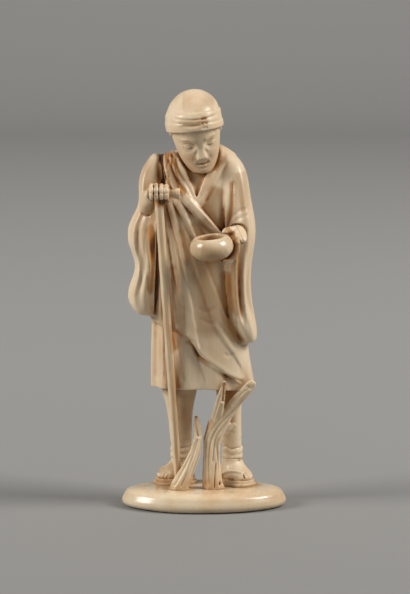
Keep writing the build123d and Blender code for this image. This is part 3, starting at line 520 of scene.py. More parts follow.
# Patina: browner the more sheltered a place is, real patina together with painted shade
uneven_recess = math_node(stain_and_shade_group, "ADD", stain_and_shade_in.outputs["Recess"], times(stain_and_shade_group, patch_shift, 0.30))
patina_and_shade = spread(stain_and_shade_group, uneven_recess, 0.03, 0.36)
stains_and_shade = {"Amber": amber, "Brown Dirt And Shade": brown_dirt_and_shade, "Rubbed And Highlight": rubbed_and_highlight, "Flush": flush, "Patina And Shade": patina_and_shade}
fill(stain_and_shade_group, stain_and_shade_out, stains_and_shade)

amber_tone = (0.50, 0.205, 0.04)
# Dark brown of dirt in pores and cuts, also used as painted shade in the deepest cuts
brown_dirt_and_shade_tone = (0.10, 0.036, 0.009)


def ivory(name, pale, body, patina_and_shade_tone, amount, gloss_low, gloss_high, line_scale=1500.0, bump=0.12, coat=0.10):
    """Carved ivory with grain, stains and painted shade in its recesses, a painted highlight on its rubbed ridges and
    a handled polish.
    """
    material = bpy.data.materials.new(name)
    material.use_nodes = True
    tree = material.node_tree
    grain = put(tree, "ShaderNodeGroup", {"Line Scale": line_scale}, node_tree=grain_group).outputs
    recess = put(tree, "ShaderNodeAttribute", {}, attribute_name="recess").outputs["Fac"]
    crease = put(tree, "ShaderNodeAttribute", {}, attribute_name="crease").outputs["Fac"]
    stain_and_shade_sockets = {"Recess": recess, "Crease": crease, "Amount": amount}
    stain_and_shade_masks = put(tree, "ShaderNodeGroup", stain_and_shade_sockets, node_tree=stain_and_shade_group).outputs
    line_share = times(tree, spread(tree, grain["Lines"], 0.35, 0.70), 0.35)
    cloud_share = times(tree, spread(tree, grain["Clouds"], 0.38, 0.66), 0.55)
    tone_share = math_node(tree, "ADD", line_share, cloud_share, clamp=True)
    tone = mix_colour(tree, tone_share, (*pale, 1), (*body, 1))
    # Layers over the grain: patina with painted shade by shelter, amber patches and stains, brown dirt with painted
    # shade in the deepest cuts, pale wear with a painted highlight on ridges, and dark pores
    for share, strength, layer_tone in (
        (stain_and_shade_masks["Patina And Shade"], 0.85, patina_and_shade_tone),
        (stain_and_shade_masks["Flush"], 0.25, amber_tone),
        (stain_and_shade_masks["Amber"], 0.82, amber_tone),
        (stain_and_shade_masks["Brown Dirt And Shade"], 1.0, brown_dirt_and_shade_tone),
        (stain_and_shade_masks["Rubbed And Highlight"], 0.45, pale),
        (grain["Pores"], 0.55, brown_dirt_and_shade_tone),
    ):
        tone = mix_colour(tree, times(tree, share, strength), tone, (*layer_tone, 1))
    dull = math_node(tree, "ADD", times(tree, stain_and_shade_masks["Amber"], gloss_high - gloss_low), gloss_low)
    relief = put(tree, "ShaderNodeBump", {"Height": grain["Height"], "Strength": bump, "Distance": 0.1 * MM})
    unstained = math_node(tree, "SUBTRACT", 1.0, times(tree, stain_and_shade_masks["Amber"], 0.85), clamp=True)
    finish = {
        "Base Color": tone,
        "Roughness": math_node(tree, "ADD", dull, times(tree, grain["Lines"], 0.10)),
        "Normal": relief.outputs["Normal"],
        "Coat Weight": times(tree, unstained, coat),
        "Coat Roughness": 0.16,
        "Specular IOR Level": 0.38,
        "IOR": 1.54,
        "Subsurface Weight": 0.12,
        "Subsurface Radius": (1.0, 0.55, 0.3),
        "Subsurface Scale": 1.2 * MM,
    }
    fill(tree, tree.nodes["Principled BSDF"], finish)
    return material


pale_ivory = (0.80, 0.66, 0.47)
warm_ivory = (0.72, 0.53, 0.33)
# Brown that sheltered places take on: patina together with painted shade
brown_patina_and_shade = (0.38, 0.22, 0.095)
carved = ivory("carved_ivory", pale_ivory, warm_ivory, brown_patina_and_shade, 1.0, 0.32, 0.52)
polished = ivory(
    "polished_ivory", (0.74, 0.615, 0.435), (0.65, 0.485, 0.30), (0.46, 0.30, 0.15), 0.8, 0.22, 0.42, 260.0, 0.06, 0.25
)
stained = ivory("stained_ivory", (0.80, 0.65, 0.45), (0.69, 0.49, 0.29), (0.56, 0.36, 0.18), 1.1, 0.34, 0.52)

bamboo = bpy.data.materials.new("bamboo_peg")
bamboo.use_nodes = True
bamboo_tree = bamboo.node_tree
bamboo_fibres = spread(bamboo_tree, stretched_noise(bamboo_tree, 2600.0, 0.04), 0.35, 0.65)
bamboo_colour = mix_colour(bamboo_tree, bamboo_fibres, (0.72, 0.52, 0.28, 1), (0.50, 0.33, 0.15, 1))
bamboo_roughness = math_node(bamboo_tree, "ADD", times(bamboo_tree, bamboo_fibres, 0.25), 0.45)
fibre_height = {"Height": bamboo_fibres, "Strength": 0.2, "Distance": 0.1 * MM}
bamboo_relief = put(bamboo_tree, "ShaderNodeBump", fibre_height)
cane = {"Base Color": bamboo_colour, "Roughness": bamboo_roughness, "Normal": bamboo_relief.outputs["Normal"]}
fill(bamboo_tree, bamboo_tree.nodes["Principled BSDF"], cane)

# The paper is painted darker near the figure and paler up the wall: painted shade and painted light that even out how
# the lamps light it
near_floor = (0.235, 0.235, 0.23, 1)
far_wall = (0.50, 0.50, 0.495, 1)
floor_paint = bpy.data.materials.new("studio_paper")
floor_paint.use_nodes = True
floor_tree = floor_paint.node_tree
floor_place = put(floor_tree, "ShaderNodeTexCoord", {})
floor_axes = put(floor_tree, "ShaderNodeSeparateXYZ", {"Vector": floor_place.outputs["Object"]})
floor_depth = spread(floor_tree, floor_axes.outputs["Y"], -1.0, 0.9)
floor_tone = mix_colour(floor_tree, floor_depth, near_floor, far_wall)
paper = {"Base Color": floor_tone, "Roughness": 0.9, "Specular IOR Level": 0.2}
fill(floor_tree, floor_tree.nodes["Principled BSDF"], paper)
floor.data.materials.append(floor_paint)


# ---- Robe and sleeves, carved as one and then parted at their seats

garment = copy_of("garment", "robe", "right_sleeve", "left_sleeve")
make_clay(garment, GARMENT_GRAIN, 5)

# The hem hangs a little lower on the bowl's side
points = points_of(garment)
x, y, z = points.T
points[:, 2] -= 0.9 * ease(x, 2, 15) * (1 - ease(z, 54, 66))
place_points(garment, points)

# The shawl lies flat on the right shoulder, and the sleeve reaches in under it
points = points_of(garment)
x, y, z = points.T
points[:, 2] -= 0.55 * np.maximum(z - 150.5, 0) * (1 - ease(x, -12, -6)) * ease(x, -21, -19)
inward = bell(x, -19.5, 3.2) * ease(z, 124, 131) * (1 - ease(z, 151, 156)) * (1 - ease(y, -6, -1))
points[:, 0] += 1.9 * inward
place_points(garment, points)

# The robe's side comes forward behind the staff, so that no deep gap is left beside the sleeve
points = points_of(garment)
x, y, z = points.T
beside = bell(x, -18.6, 2.0) * ease(x, -20.7, -20.1) * ease(-y, 3, 5)
points[:, 1] -= 3.2 * beside * ease(z, 78, 90) * (1 - ease(z, 117, 123))
place_points(garment, points)

# The lower ends of the sleeves are worn smooth
x, y, z = points_of(garment).T
worn = (1 - ease(x, -24, -22)) * (1 - ease(z, 88, 104)) + ease(x, 15, 17) * (1 - ease(z, 76, 100))
melt(garment, np.clip(worn, 0, 0.9), 60)

# The shoulders run into the chest and the back without a step
x, y, z = points_of(garment).T
seam = bell(x, 11.0, 5.0) * ease(z, 136, 144)
melt(garment, seam, 160)
x, y, z = points_of(garment).T
melt(garment, bell(x, -20.2, 3.0) * ease(z, 143, 149) * ease(y, -4, 0), 80)

x, y, z = points_of(garment).T
normals = normals_of(garment)
front = ease(-normals[:, 1], 0.05, 0.35)
rear = ease(normals[:, 1], 0.05, 0.35)
outer_left = ease(-normals[:, 0], 0.0, 0.3) * (x < -19)
outer_right = ease(normals[:, 0], 0.0, 0.3) * (x > 12)
depths = np.zeros(len(x))

# Shawl folds, which gather on the right shoulder and fan out across the body
shawl_laps = (
    (
        [(-17.2, 153.5), (-16.4, 146.5), (-13.4, 138.5), (-5.5, 128.5), (2, 121), (8.5, 115.5)],
        0.55, 2.6, 0.50, 0.55,
    ),
    (
        [(-18, 153), (-17.4, 145.5), (-14.4, 136), (-8.5, 124.5), (-1.5, 112.5), (6, 102)],
        0.50, 2.2, 0.55, 0.60,
    ),
    (
        [(-18.6, 152), (-18, 143), (-14.8, 128), (-11, 114), (-7.6, 101), (-3.9, 88)],
        0.50, 2.4, 0.60, 0.60,
    ),
    (
        [(-19.2, 150), (-18, 138), (-15.4, 120), (-12, 100), (-8.5, 84)],
        0.45, 2.2, 0.60, 0.60,
    ),
    (
        [(-19.4, 140), (-18, 120), (-16, 96), (-14.5, 80)],
        0.35, 2.0, 0.50, 0.60,
    ),
)
for corners, rise, reach, cut, width in shawl_laps:
    stroke = lapped_edge(x, z, corners, rise, reach, cut, width, 0.04, 0.25)
    depths += front * stroke * (x < 14.5)

# Small plaits where the shawl is bunched on the shoulder
for start_x in (-18.6, -17.4, -16.2, -15.0):
    corners = [(start_x, 156), (start_x + 0.3, 150.5), (start_x + 1, 145.5)]
    depths += groove(x, z, corners, 0.55, 0.38, 0.0, 0.5) * ease(-normals[:, 1] + normals[:, 2], 0.1, 0.5)

# Upper edge of the shawl over the chest and its lower edge over the skirt
chest_edge = [(-14.3, 153.5), (-12.2, 146.5), (-9.4, 138.8), (-2.2, 130.6), (2.6, 125.7), (8.6, 118.4)]
depths += front * lapped_edge(x, z, chest_edge[::-1], 0.35, 2.4, 0.45, 0.6, 0.03, 0.03)
hem_edge = [(-13, 79.5), (-10.4, 76.8), (-5, 73.8), (-3.6, 71.2)]
hem_edge += [(-0.4, 66), (5.8, 61.2), (10.8, 57.6), (17.4, 54.8)]
depths += front * lapped_edge(x, z, hem_edge, 0.35, 1.8, 0.50, 0.6, 0.03, 0.03)

# Soft creases in the hanging cloth
for corners, depth, width in (
    ([(-3, 88), (1, 86), (5.5, 88)], 0.25, 0.7),
    ([(-1.5, 83), (2.5, 81), (6.5, 82.6)], 0.25, 0.7),
    ([(5.8, 81.8), (9.6, 75.6), (14.2, 68.8)], 0.45, 0.6),
    ([(8.4, 67.8), (10.6, 66.4), (13.4, 67.4)], 0.35, 0.6),
    ([(7.2, 61), (9.2, 57.4), (10.4, 54)], 0.30, 0.5),
    ([(-13, 76), (-10.8, 64), (-8, 54)], 0.50, 0.6),
    ([(-4.4, 71.2), (-1.6, 63), (1.2, 53.6)], 0.50, 0.6),
    ([(-20.4, 82), (-20.3, 68), (-20.4, 54)], 0.40, 0.55),
    ([(-18.6, 80), (-18.4, 66), (-18.5, 54)], 0.40, 0.55),
    ([(-16.6, 80), (-16.6, 66), (-16.6, 54)], 0.40, 0.55),
    ([(-19.5, 112), (-19.8, 100), (-20.4, 88)], 0.55, 0.60),
):
    depths += front * groove(x, z, corners, depth, width)

# Collar bands: a thin raised line along each edge
for corners, side in (
    ([(-12.4, 153), (-7.4, 143), (-2.8, 133.8)], -1),
    ([(6.6, 151), (2, 141.8), (-2.8, 133.8)], 1),
):
    line = np.array(corners)
    depths += front * groove(x, z, line + (side * 0.9, -0.5), 0.30, 0.35, 0.05, 0.05)
    depths += front * groove(x, z, line + (side * 3.4, -1.6), 0.45, 0.50, 0.05, 0.05)

# Arm against the chest, and the folds round the cuffs
for corners, depth, width in (
    ([(12.2, 143), (12, 136), (11.4, 128), (9, 118)], 0.75, 0.55),
    ([(10.8, 122.8), (14.2, 125.6), (19.2, 127.6)], 0.40, 0.60),
    ([(11.6, 126.2), (15, 129), (18.6, 130)], 0.25, 0.60),
    ([(-27.6, 131), (-25.4, 128.6), (-22.4, 127.6)], 0.35, 0.50),
    ([(15.6, 118), (14.9, 104), (15.6, 90), (17.6, 78)], 0.65, 0.75),
    ([(12, 108), (11.4, 96), (12.6, 84)], 0.35, 0.55),
    ([(18.6, 116), (17.9, 104), (18.2, 92), (19.6, 80)], 0.35, 0.60),
    ([(-24.6, 126), (-24.8, 112), (-23.6, 100), (-24, 88)], 0.70, 0.75),
    ([(-27.6, 124), (-27.9, 112), (-26.4, 102), (-27.2, 92)], 0.40, 0.60),
):
    depths += front * groove(x, z, corners, depth, width)

# Folds on the outer sides of the sleeves, which are seen from left and right
for side, corners, depth in (
    (outer_left, [(-8, 140), (-5, 122), (-7, 104), (-5, 90)], 0.50),
    (outer_left, [(-2, 146), (0, 126), (-2, 106), (-0.5, 88)], 0.55),
    (outer_left, [(4, 146), (4.5, 124), (3, 104), (4, 88)], 0.50),
    (outer_right, [(-7.5, 132), (-6, 112), (-7.5, 96), (-5.5, 80)], 0.50),
    (outer_right, [(-1, 142), (0, 118), (-1.5, 98), (-1, 78)], 0.60),
    (outer_right, [(5, 144), (5.5, 120), (4, 98), (3.5, 80)], 0.50),
):
    depths += side * groove(y, z, corners, depth, 0.7)

# The shawl on the back, drawn tight from the right shoulder to the left hip
for corners, rise in (
    ([(-15, 153), (-8, 138), (3, 122), (13, 108)], 0.45),
    ([(-16.5, 150), (-11, 130), (-1, 106), (12, 84)], 0.50),
    ([(-18, 146), (-14, 122), (-6, 92), (6, 66)], 0.50),
    ([(-19, 138), (-17, 112), (-12, 84), (-6, 62)], 0.40),
):
    depths += rear * lapped_edge(x, z, corners, rise, 2.4, 0.5, 0.65, 0.04, 0.25)
push(garment, even_out(depths, edges_of(garment), 2), 8)
apply_modifier(garment, "SMOOTH", factor=0.5, iterations=3)


def box_between(low, high):
    """A box between two corners, in metres."""
    bpy.ops.object.select_all(action="DESELECT")
    bpy.ops.mesh.primitive_cube_add(size=1)
    box = bpy.context.object
    for vertex in box.data.vertices:
        for axis in range(3):
            vertex.co[axis] = high[axis] if vertex.co[axis] > 0 else low[axis]
    return box


def split_off(piece, name, low, high):
    """Cuts away what lies in a box, as a piece of its own."""
    room = box_between(Vector(low) * MM, Vector(high) * MM)
    part = add_object(name, piece.data.copy())
    part.data.name = name
    apply_modifier(part, "BOOLEAN", operation="INTERSECT", object=room, solver="MANIFOLD")
    apply_modifier(piece, "BOOLEAN", operation="DIFFERENCE", object=room, solver="MANIFOLD")
    bpy.data.objects.remove(room)
    return part


right_seat, right_sleeve_foot = -20.2, 82.4
left_seat, left_sleeve_foot = 13.6, 70.5
right_sleeve = split_off(garment, "carved_right_sleeve", (-60, -60, right_sleeve_foot), (right_seat, 60, 170))
left_sleeve = split_off(garment, "carved_left_sleeve", (left_seat, -60, left_sleeve_foot), (60, 60, 170))
robe = garment
robe.name = "carved_robe"
robe.data.name = "carved_robe"

head = clay_of("head", HEAD_GRAIN, 2)

# The bowed head's own directions: across the face, forwards and up
head_centre = np.array([-3.6, -5.6, 162.9])
head_up = np.array([-0.12, -0.45, 0.89])
head_up /= np.linalg.norm(head_up)
head_across = np.array([1, 0.13, 0.12])
head_across = head_across - (head_across @ head_up) * head_up
head_across /= np.linalg.norm(head_across)
head_forward = np.cross(head_across, head_up) * -1
if head_forward[1] > 0:
    head_forward *= -1


def head_places(piece):
    """Across, up and forward places on the head, and how far each spot faces forwards."""
    points = points_of(piece) - head_centre
    normals = normals_of(piece)
    return points @ head_across, points @ head_up, points @ head_forward, normals @ head_forward


# The brow band lies flush with the cap above it, and the cap is round and upright
x, y, z = points_of(head).T
melt(head, bell(z, 169.6, 1.8), 90)
points = points_of(head)
x, y, z = points.T
points[:, 0] += 1.0 * ease(z, 168, 178)
points[:, 2] -= 0.7 * ease(z, 169, 180)
place_points(head, points)

# The face is first made plain, and then cut in even thirds
u, w, v, facing = head_places(head)
face = ease(facing, 0.1, 0.4) * ease(v, 7.0, 9.0)
eye_zone = mound(np.abs(u), w, (4.8, -1.0), (3.4, 2.3), 1.0) * face
mouth_zone = mound(u, w, (0, -9.7), (3.6, 1.1), 1.0) * face
melt(head, np.clip(1.3 * eye_zone + 1.3 * mouth_zone, 0, 1), 40)
melt(head, np.clip(1.2 * mound(u, w, (0, -3.6), (2.2, 3.0), 1.0) * face, 0, 1), 14)

u, w, v, facing = head_places(head)
face = ease(facing, 0.05, 0.4) * ease(v, 6.0, 8.5)
sides = np.abs(u)
marks = np.zeros(len(u))
marks += mound(sides, w, (4.6, 0.2), (2.6, 1.5), -0.55)
marks += groove(sides, w, [(1.5, -1.2), (1.9, -3.4), (2.3, -5)], 0.30, 0.55, 0.3, 0.4)
marks += mound(sides, w, (4.7, -1.1), (2.0, 1.05), 0.70)
marks += groove(sides, w, [(2.7, -1.45), (4.7, -1.95), (7.1, -1.1)], 0.40, 0.30, 0.25, 0.1)
marks += groove(sides, w, [(2.6, -0.2), (4.7, 0.45), (7.3, -0.2)], 0.22, 0.30, 0.2, 0.2)
marks += groove(sides, w, [(2.9, -2.7), (4.8, -3.2), (6.6, -2.6)], 0.14, 0.40, 0.3, 0.3)
marks += -1.0 * groove(sides, w, [(1.7, 1.7), (4.6, 2.9), (7.9, 1.8)], 0.40, 0.85, 0.2, 0.3)
marks += mound(sides, w, (1.75, -6.0), (0.85, 0.95), 0.55)
marks += mound(sides, w, (0.85, -7.15), (0.50, 0.40), -0.45)
marks += groove(sides, w, [(2.6, -5.4), (3.4, -7), (4, -9)], 0.22, 0.55, 0.2, 0.4)
marks += mound(sides, w, (5.6, -5.2), (2.8, 2.6), 0.45)
marks += mound(u, w, (0, -8.0), (0.55, 0.9), -0.22)
marks += groove(u, w, [(-3, -9.45), (-1.1, -9.65), (0, -9.85), (1.1, -9.65), (3, -9.45)], 0.50, 0.32, 0.1, 0.1)
marks += -1.0 * groove(u, w, [(-2.2, -9), (0, -8.9), (2.2, -9)], 0.28, 0.45, 0.3, 0.3)
marks += -1.0 * groove(u, w, [(-1.8, -10.5), (0, -10.75), (1.8, -10.5)], 0.38, 0.60, 0.3, 0.3)
marks += mound(u, w, (0, -11.8), (2.0, 0.6), -0.25)
marks += mound(u, w, (0, -13.4), (2.4, 1.6), 0.45)
push(head, marks * face, 3)

# Gathered folds in the brow band, drawn together right of the middle
x, y, z = points_of(head).T
normals = normals_of(head)
brow = ease(-normals[:, 1], 0.1, 0.5) * ease(-y, 12, 15)
for corners, depth, width in (
    ([(-14, 168.8), (-6, 168.2), (0.4, 168.8), (6.8, 170.6)], 0.40, 0.36),
    ([(-9, 166), (-5, 165.6), (0.4, 166.8)], 0.35, 0.60),
    ([(0.6, 166.8), (3.6, 167.2), (7.4, 167.6)], 0.30, 0.36),
    ([(-1.4, 168.5), (0.2, 168.9), (1.4, 168.8)], 0.36, 0.42),
    ([(-1.1, 166.5), (0.2, 167), (1.7, 166.7)], 0.42, 0.45),
    ([(-0.7, 164.3), (0.5, 164.9), (1.8, 165)], 0.40, 0.42),
):
    push(head, groove(x, z, corners, depth, width) * brow)
push(head, mound(x, z, (-5.0, 165.9), (4.6, 0.9), -0.30) * brow)
apply_modifier(head, "SMOOTH", factor=0.5, iterations=1)

# ---- Hands


def cut_slots(piece, places, low, high, axis, width):
    """Saws thin slots across a piece, each one across the given axis."""
    near, far = [value * MM for value in low], [value * MM for value in high]
    for place in places:
        near[axis], far[axis] = (place - width / 2) * MM, (place + width / 2) * MM
        blade = box_between(near, far)
        apply_modifier(piece, "BOOLEAN", operation="DIFFERENCE", object=blade, solver="MANIFOLD")
        bpy.data.objects.remove(blade)


bar_y, bar_z = -22.0, 137.4
finger_gaps = (-20.85, -18.75, -16.65)
right_hand = copy_of("carved_right_hand", "right_hand")
wrist = planed_rod("wrist", (-25.3, -13.5, 134.4), (-21.9, -22.0, 137.0), 2.5, 2.6, 20, 0.0)
choose(right_hand, wrist)
bpy.ops.object.join()
make_clay(right_hand, HAND_GRAIN, 1)
x = points_of(right_hand)[:, 0]
melt(right_hand, 1 - ease(x, -23.0, -21.9), 90)
cut_slots(right_hand, finger_gaps, (0, -30, 131), (0, -20.9, 146), 0, 0.46)
make_clay(right_hand, FINE_HAND_GRAIN, 2)
x, y, z = points_of(right_hand).T
normals = normals_of(right_hand)
reach = np.hypot(y - bar_y, z - bar_z)
turn = np.degrees(np.arctan2(z - bar_z, bar_y - y))
fingers = ease(reach, 2.4, 3.0) * (1 - ease(y, -21.5, -20.0))
dents = np.zeros(len(x))
for crease_turn in (62.0, 8.0):
    dents += -0.16 * bell(turn, crease_turn, 5.0) * fingers
dents += 0.14 * bell(turn, 36.0, 16.0) * fingers
for knuckle_x in (-21.9, -19.8, -17.7, -15.6):
    dents += mound(x, y, (knuckle_x, -20.2), (0.7, 1.0), 0.25) * ease(normals[:, 2], 0.2, 0.6)
for hollow_x in finger_gaps:
    dents += mound(x, y, (hollow_x, -19.4), (0.45, 1.6), -0.32) * ease(normals[:, 2], 0.2, 0.6)
push(right_hand, dents)

left_hand = clay_of("left_hand", HAND_GRAIN, 1)
x, y, z = points_of(left_hand).T
melt(left_hand, 0.9 * ease(x, 14.0, 16.0) * ease(z, 114.0, 116.0) * (1 - ease(z, 119.5, 122.0)), 26)
cut_slots(left_hand, (-23.66, -21.45, -19.25), (9.0, 0, 100), (20.0, 0, 117.5), 1, 0.42)
make_clay(left_hand, FINE_HAND_GRAIN, 2)
x, y, z = points_of(left_hand).T
normals = normals_of(left_hand)
dents = np.zeros(len(x))
outer = ease(normals[:, 0], 0.0, 0.4)
dents -= 0.20 * ease(x, 12.5, 14.5) * ease(z, 118.5, 120.0)
dents += groove(x, z, [(13.2, 123.6), (15, 120.8), (16.4, 117.6)], 0.30, 0.26, 0.0, 0.0)
dents += groove(x, z, [(15.3, 116.5), (15.2, 113), (14, 110)], 0.25, 0.28, 0.2, 0.2)
for crease_z in (116.2, 112.4):
    dents += -0.15 * bell(z, crease_z, 0.35) * outer * (1 - ease(y, -18.0, -16.5))
over = ease(normals[:, 2], 0.1, 0.5)
dents += -0.20 * bell(y, -17.6, 0.45) * over
dents += -0.16 * bell(y, -15.2, 0.40) * over
push(left_hand, dents)

# ---- Legs with gaiters, and feet in stepped sandals

right_leg = clay_of("right_leg", LEG_GRAIN, 3)
left_leg = clay_of("left_leg", LEG_GRAIN, 3)
for leg, centre, cuff in ((right_leg, (-9.6, 8.0), 24.4), (left_leg, (12.0, 7.5), 24.2)):
    x, y, z = points_of(leg).T
    turn = np.arctan2(y - centre[1], x - centre[0])
    wave = 0.5 * np.sin(turn * 2 + 0.6) + 0.25 * np.sin(turn * 5)
    marks = -0.42 * bell(z - cuff - wave, 0, 0.34)
    marks += 0.30 * bell(z - cuff + 1.5 - wave, 0, 0.9)
    marks += -0.18 * bell(z - cuff + 3.0 - 0.7 * wave, 0, 0.35)
    marks += -0.14 * bell(z - cuff - 3.4 - 1.4 * wave, 0, 0.5) * ease(np.sin(turn + 1.0), -0.2, 0.6)
    marks += -0.16 * bell(z - cuff - 8.0 - 2.2 * wave, 0, 0.7) * ease(np.sin(turn * 2 - 0.8), -0.1, 0.7)
    push(leg, marks)

right_foot = clay_of("right_foot", FOOT_GRAIN, 2)
left_foot = clay_of("left_foot", FOOT_GRAIN, 2)
for foot, place, heading in ((right_foot, (-9.6, 10.2), -66.0), (left_foot, (12.3, 8.7), 37.0)):
    x, y, z = points_of(foot).T
    normals = normals_of(foot)
    sine, cosine = math.sin(math.radians(heading)), math.cos(math.radians(heading))
    across = (x - place[0]) * cosine + (y - place[1]) * sine
    along = -(x - place[0]) * sine + (y - place[1]) * cosine
    side = ease(np.hypot(normals[:, 0], normals[:, 1]), 0.3, 0.7)
    above = ease(z, 11.2, 11.8)
    marks = -0.30 * bell(z, 9.4, 0.22) * side
    marks += -0.35 * bell(z, 10.9, 0.24) * side
    for gap in (0.3, 1.9, 3.3, 4.5):
        toe = [(gap * 1.06, -11.3), (gap * 1.05, -9), (gap, -7)]
        marks += above * groove(across, along, toe, 0.32, 0.26, 0.0, 0.5)
    for corners, depth, width in (
        ([(-4.6, -3.6), (-1.6, -4.4), (1.8, -4.2), (4.8, -3)], 0.22, 0.40),
        ([(-4.4, -1.4), (-1, -2.4), (2.4, -2), (4.8, -0.8)], 0.20, 0.45),
    ):
        marks += above * groove(across, along, corners, depth, width) * ease(normals[:, 2], 0.0, 0.4)
    push(foot, marks)

# ---- Tree stumps with bark lines, chopped hollow tips and a split foot

stump_short = clay_of("stump_short", STUMP_GRAIN, 2)
stump_forked = clay_of("stump_forked", STUMP_GRAIN, 2)
for stump, strokes in (
    (
        stump_short,
        (
            ([(-12.6, 9.6), (-8.6, 16.8), (-5, 24.6), (-3.4, 30.5)], 0.32, 0.40),
            ([(-10.1, 9.2), (-5.7, 19.5), (-3.3, 27.1), (-2.3, 31.5)], 0.42, 0.42),
            ([(-7, 9.2), (-4.2, 17.7), (-1.7, 25.2), (-1.1, 30.9)], 0.35, 0.40),
            ([(-3.2, 40.2), (-3.4, 37.2), (-2.9, 34), (-2, 30.4)], 0.95, 0.85),
            ([(-4.6, 37.5), (-4.4, 33), (-4.2, 29)], 0.25, 0.30),
        ),
    ),
    (
        stump_forked,
        (
            ([(0.9, 9), (0.9, 20.8), (1, 27.7), (3.4, 34), (8.2, 40.9)], 0.38, 0.42),
            ([(2.4, 9), (2.3, 22.1), (3.3, 29.6), (6.6, 35.9), (13.4, 43.4), (17.7, 48.4)], 0.50, 0.48),
            ([(3.6, 19), (4.8, 29), (7.9, 34.6), (15.2, 44), (18.4, 47.6)], 0.42, 0.42),
            ([(6.9, 9), (6.3, 18.3), (5.6, 27.1), (7, 31)], 0.42, 0.42),
            ([(8.4, 9), (8, 18), (7.4, 27), (9.6, 32.4), (12.6, 33.4)], 0.32, 0.42),
            ([(4, 37.6), (6, 45), (7.2, 50)], 0.32, 0.38),
            ([(8.7, 55.5), (8.6, 51.6), (8.2, 46)], 0.95, 0.95),
            ([(12, 44.6), (16, 49.6), (19.4, 52.6)], 0.35, 0.42),
            ([(4.6, 8), (4.8, 14.4), (5.2, 20.1)], 0.55, 0.30),
        ),
    ),
):
    x, y, z = points_of(stump).T
    normals = normals_of(stump)
    seen = ease(-normals[:, 1], 0.0, 0.4)
    behind = ease(normals[:, 1], 0.0, 0.4)
    marks = np.zeros(len(x))
    for corners, depth, width in strokes:
        marks += (seen + 0.6 * behind) * groove(x, z, corners, depth, width, 0.05, 0.1)
    push(stump, marks)

# The chopped tip of the long branch is hollow
x, y, z = points_of(stump_forked).T
branch_run = np.array([6.5, 9.5]) / np.hypot(6.5, 9.5)
past = (x - 19.6) * branch_run[0] + (z - 53.0) * branch_run[1]
push(stump_forked, mound(x, z, (19.6, 52.8), (1.2, 1.0), -0.9) * ease(past, -1.6, -0.4))

# ---- Oval slab, bowl, staff and bar, each turned or planed from a plain blank


half_length, half_depth, slab_height = 35.5, 20.5, 8.0
base = blank("carved_base", 160, half_length, slab_height, (0, 0, 0))
switch("EDIT")
bpy.ops.mesh.select_all(action="SELECT")
bpy.ops.transform.resize(value=(1, half_depth / half_length, 1), center_override=(0, 0, 0))
switch("OBJECT")
for level, reach in ((slab_height, 4.4), (0.0, 2.8)):
    select_faces(base, lambda centre, normal: abs(centre.z - level) < 0.1 and abs(normal.z) > 0.9)
    bpy.ops.mesh.select_mode(type="EDGE")
    bpy.ops.mesh.region_to_loop()
    bpy.ops.mesh.bevel(offset=reach * MM, segments=10, profile=0.5)
    switch("OBJECT")
select_faces(base, lambda centre, normal: centre.z > slab_height - 0.1 and normal.z > 0.9)
bpy.ops.mesh.inset(thickness=2.0 * MM)
bpy.ops.mesh.inset(thickness=6.0 * MM)
switch("OBJECT")
make_clay(base, BASE_GRAIN, 14)
x, y, z = points_of(base).T
rim = np.hypot(x / half_length, y / half_depth)
melt(base, ease(rim, 0.70, 0.86) * ease(z, 2.0, 6.0), 150)
x, y, z = points_of(base).T
rim = np.hypot(x / half_length, y / half_depth)
swell = 0.18 * np.sin(np.arctan2(y, x) * 3 + 0.8) + 0.10 * np.sin(np.arctan2(y, x) * 5)
push(base, np.minimum(swell * ease(rim, 0.7, 1.0) - 0.12 * ease(rim, 0.6, 0.98), 0.05))

bowl = blank("carved_bowl", 72, 4.6, 1.2, (0, 0, 0))
profile = ((7.9, 2.2), (9.05, 3.8), (9.3, 5.4), (9.0, 7.2), (8.2, 8.8), (7.1, 9.9), (6.1, 10.25), (5.4, 9.95))
profile += ((5.1, 9.2), (5.5, 7.8), (6.3, 5.8), (6.1, 4.0), (4.6, 2.9), (2.2, 2.5))
select_faces(bowl, lambda centre, normal: normal.z > 0.9)
bpy.ops.transform.resize(value=(6.6 / 4.6,) * 2 + (1,), center_override=(0, 0, 1.2 * MM))
radius, level = 6.6, 1.2
for next_radius, next_level in profile:
    bpy.ops.mesh.extrude_region_move(TRANSFORM_OT_translate={"value": (0, 0, (next_level - level) * MM)})
    share = next_radius / radius
    bpy.ops.transform.resize(value=(share, share, 1), center_override=(0, 0, next_level * MM))
    radius, level = next_radius, next_level
bpy.ops.mesh.inset(thickness=0.9 * MM)
bpy.ops.mesh.select_all(action="SELECT")
bpy.ops.mesh.normals_make_consistent(inside=False)
switch("OBJECT")
apply_modifier(bowl, "SUBSURF", levels=2, render_levels=2)
lean = Matrix.Rotation(math.radians(5.0), 4, "X") @ Matrix.Rotation(math.radians(-6.0), 4, "Y")
bowl_x, bowl_y = 3.9, -25.2
bowl.data.transform(Matrix.Translation(Vector((bowl_x, bowl_y, 109.9)) * MM) @ lean)
make_clay(bowl, BOWL_GRAIN, 2)
x, y, z = points_of(bowl).T
turn = np.arctan2(y - bowl_y, x - bowl_x)
marks = 0.10 * np.sin(turn * 2 + 0.5) * ease(z, 112, 118) - 0.10
marks += mound(turn, z, (-2.9, 119.4), (0.35, 1.2), -0.35)
marks += mound(turn, z, (-2.2, 119.8), (0.20, 0.8), -0.22)
push(bowl, marks)


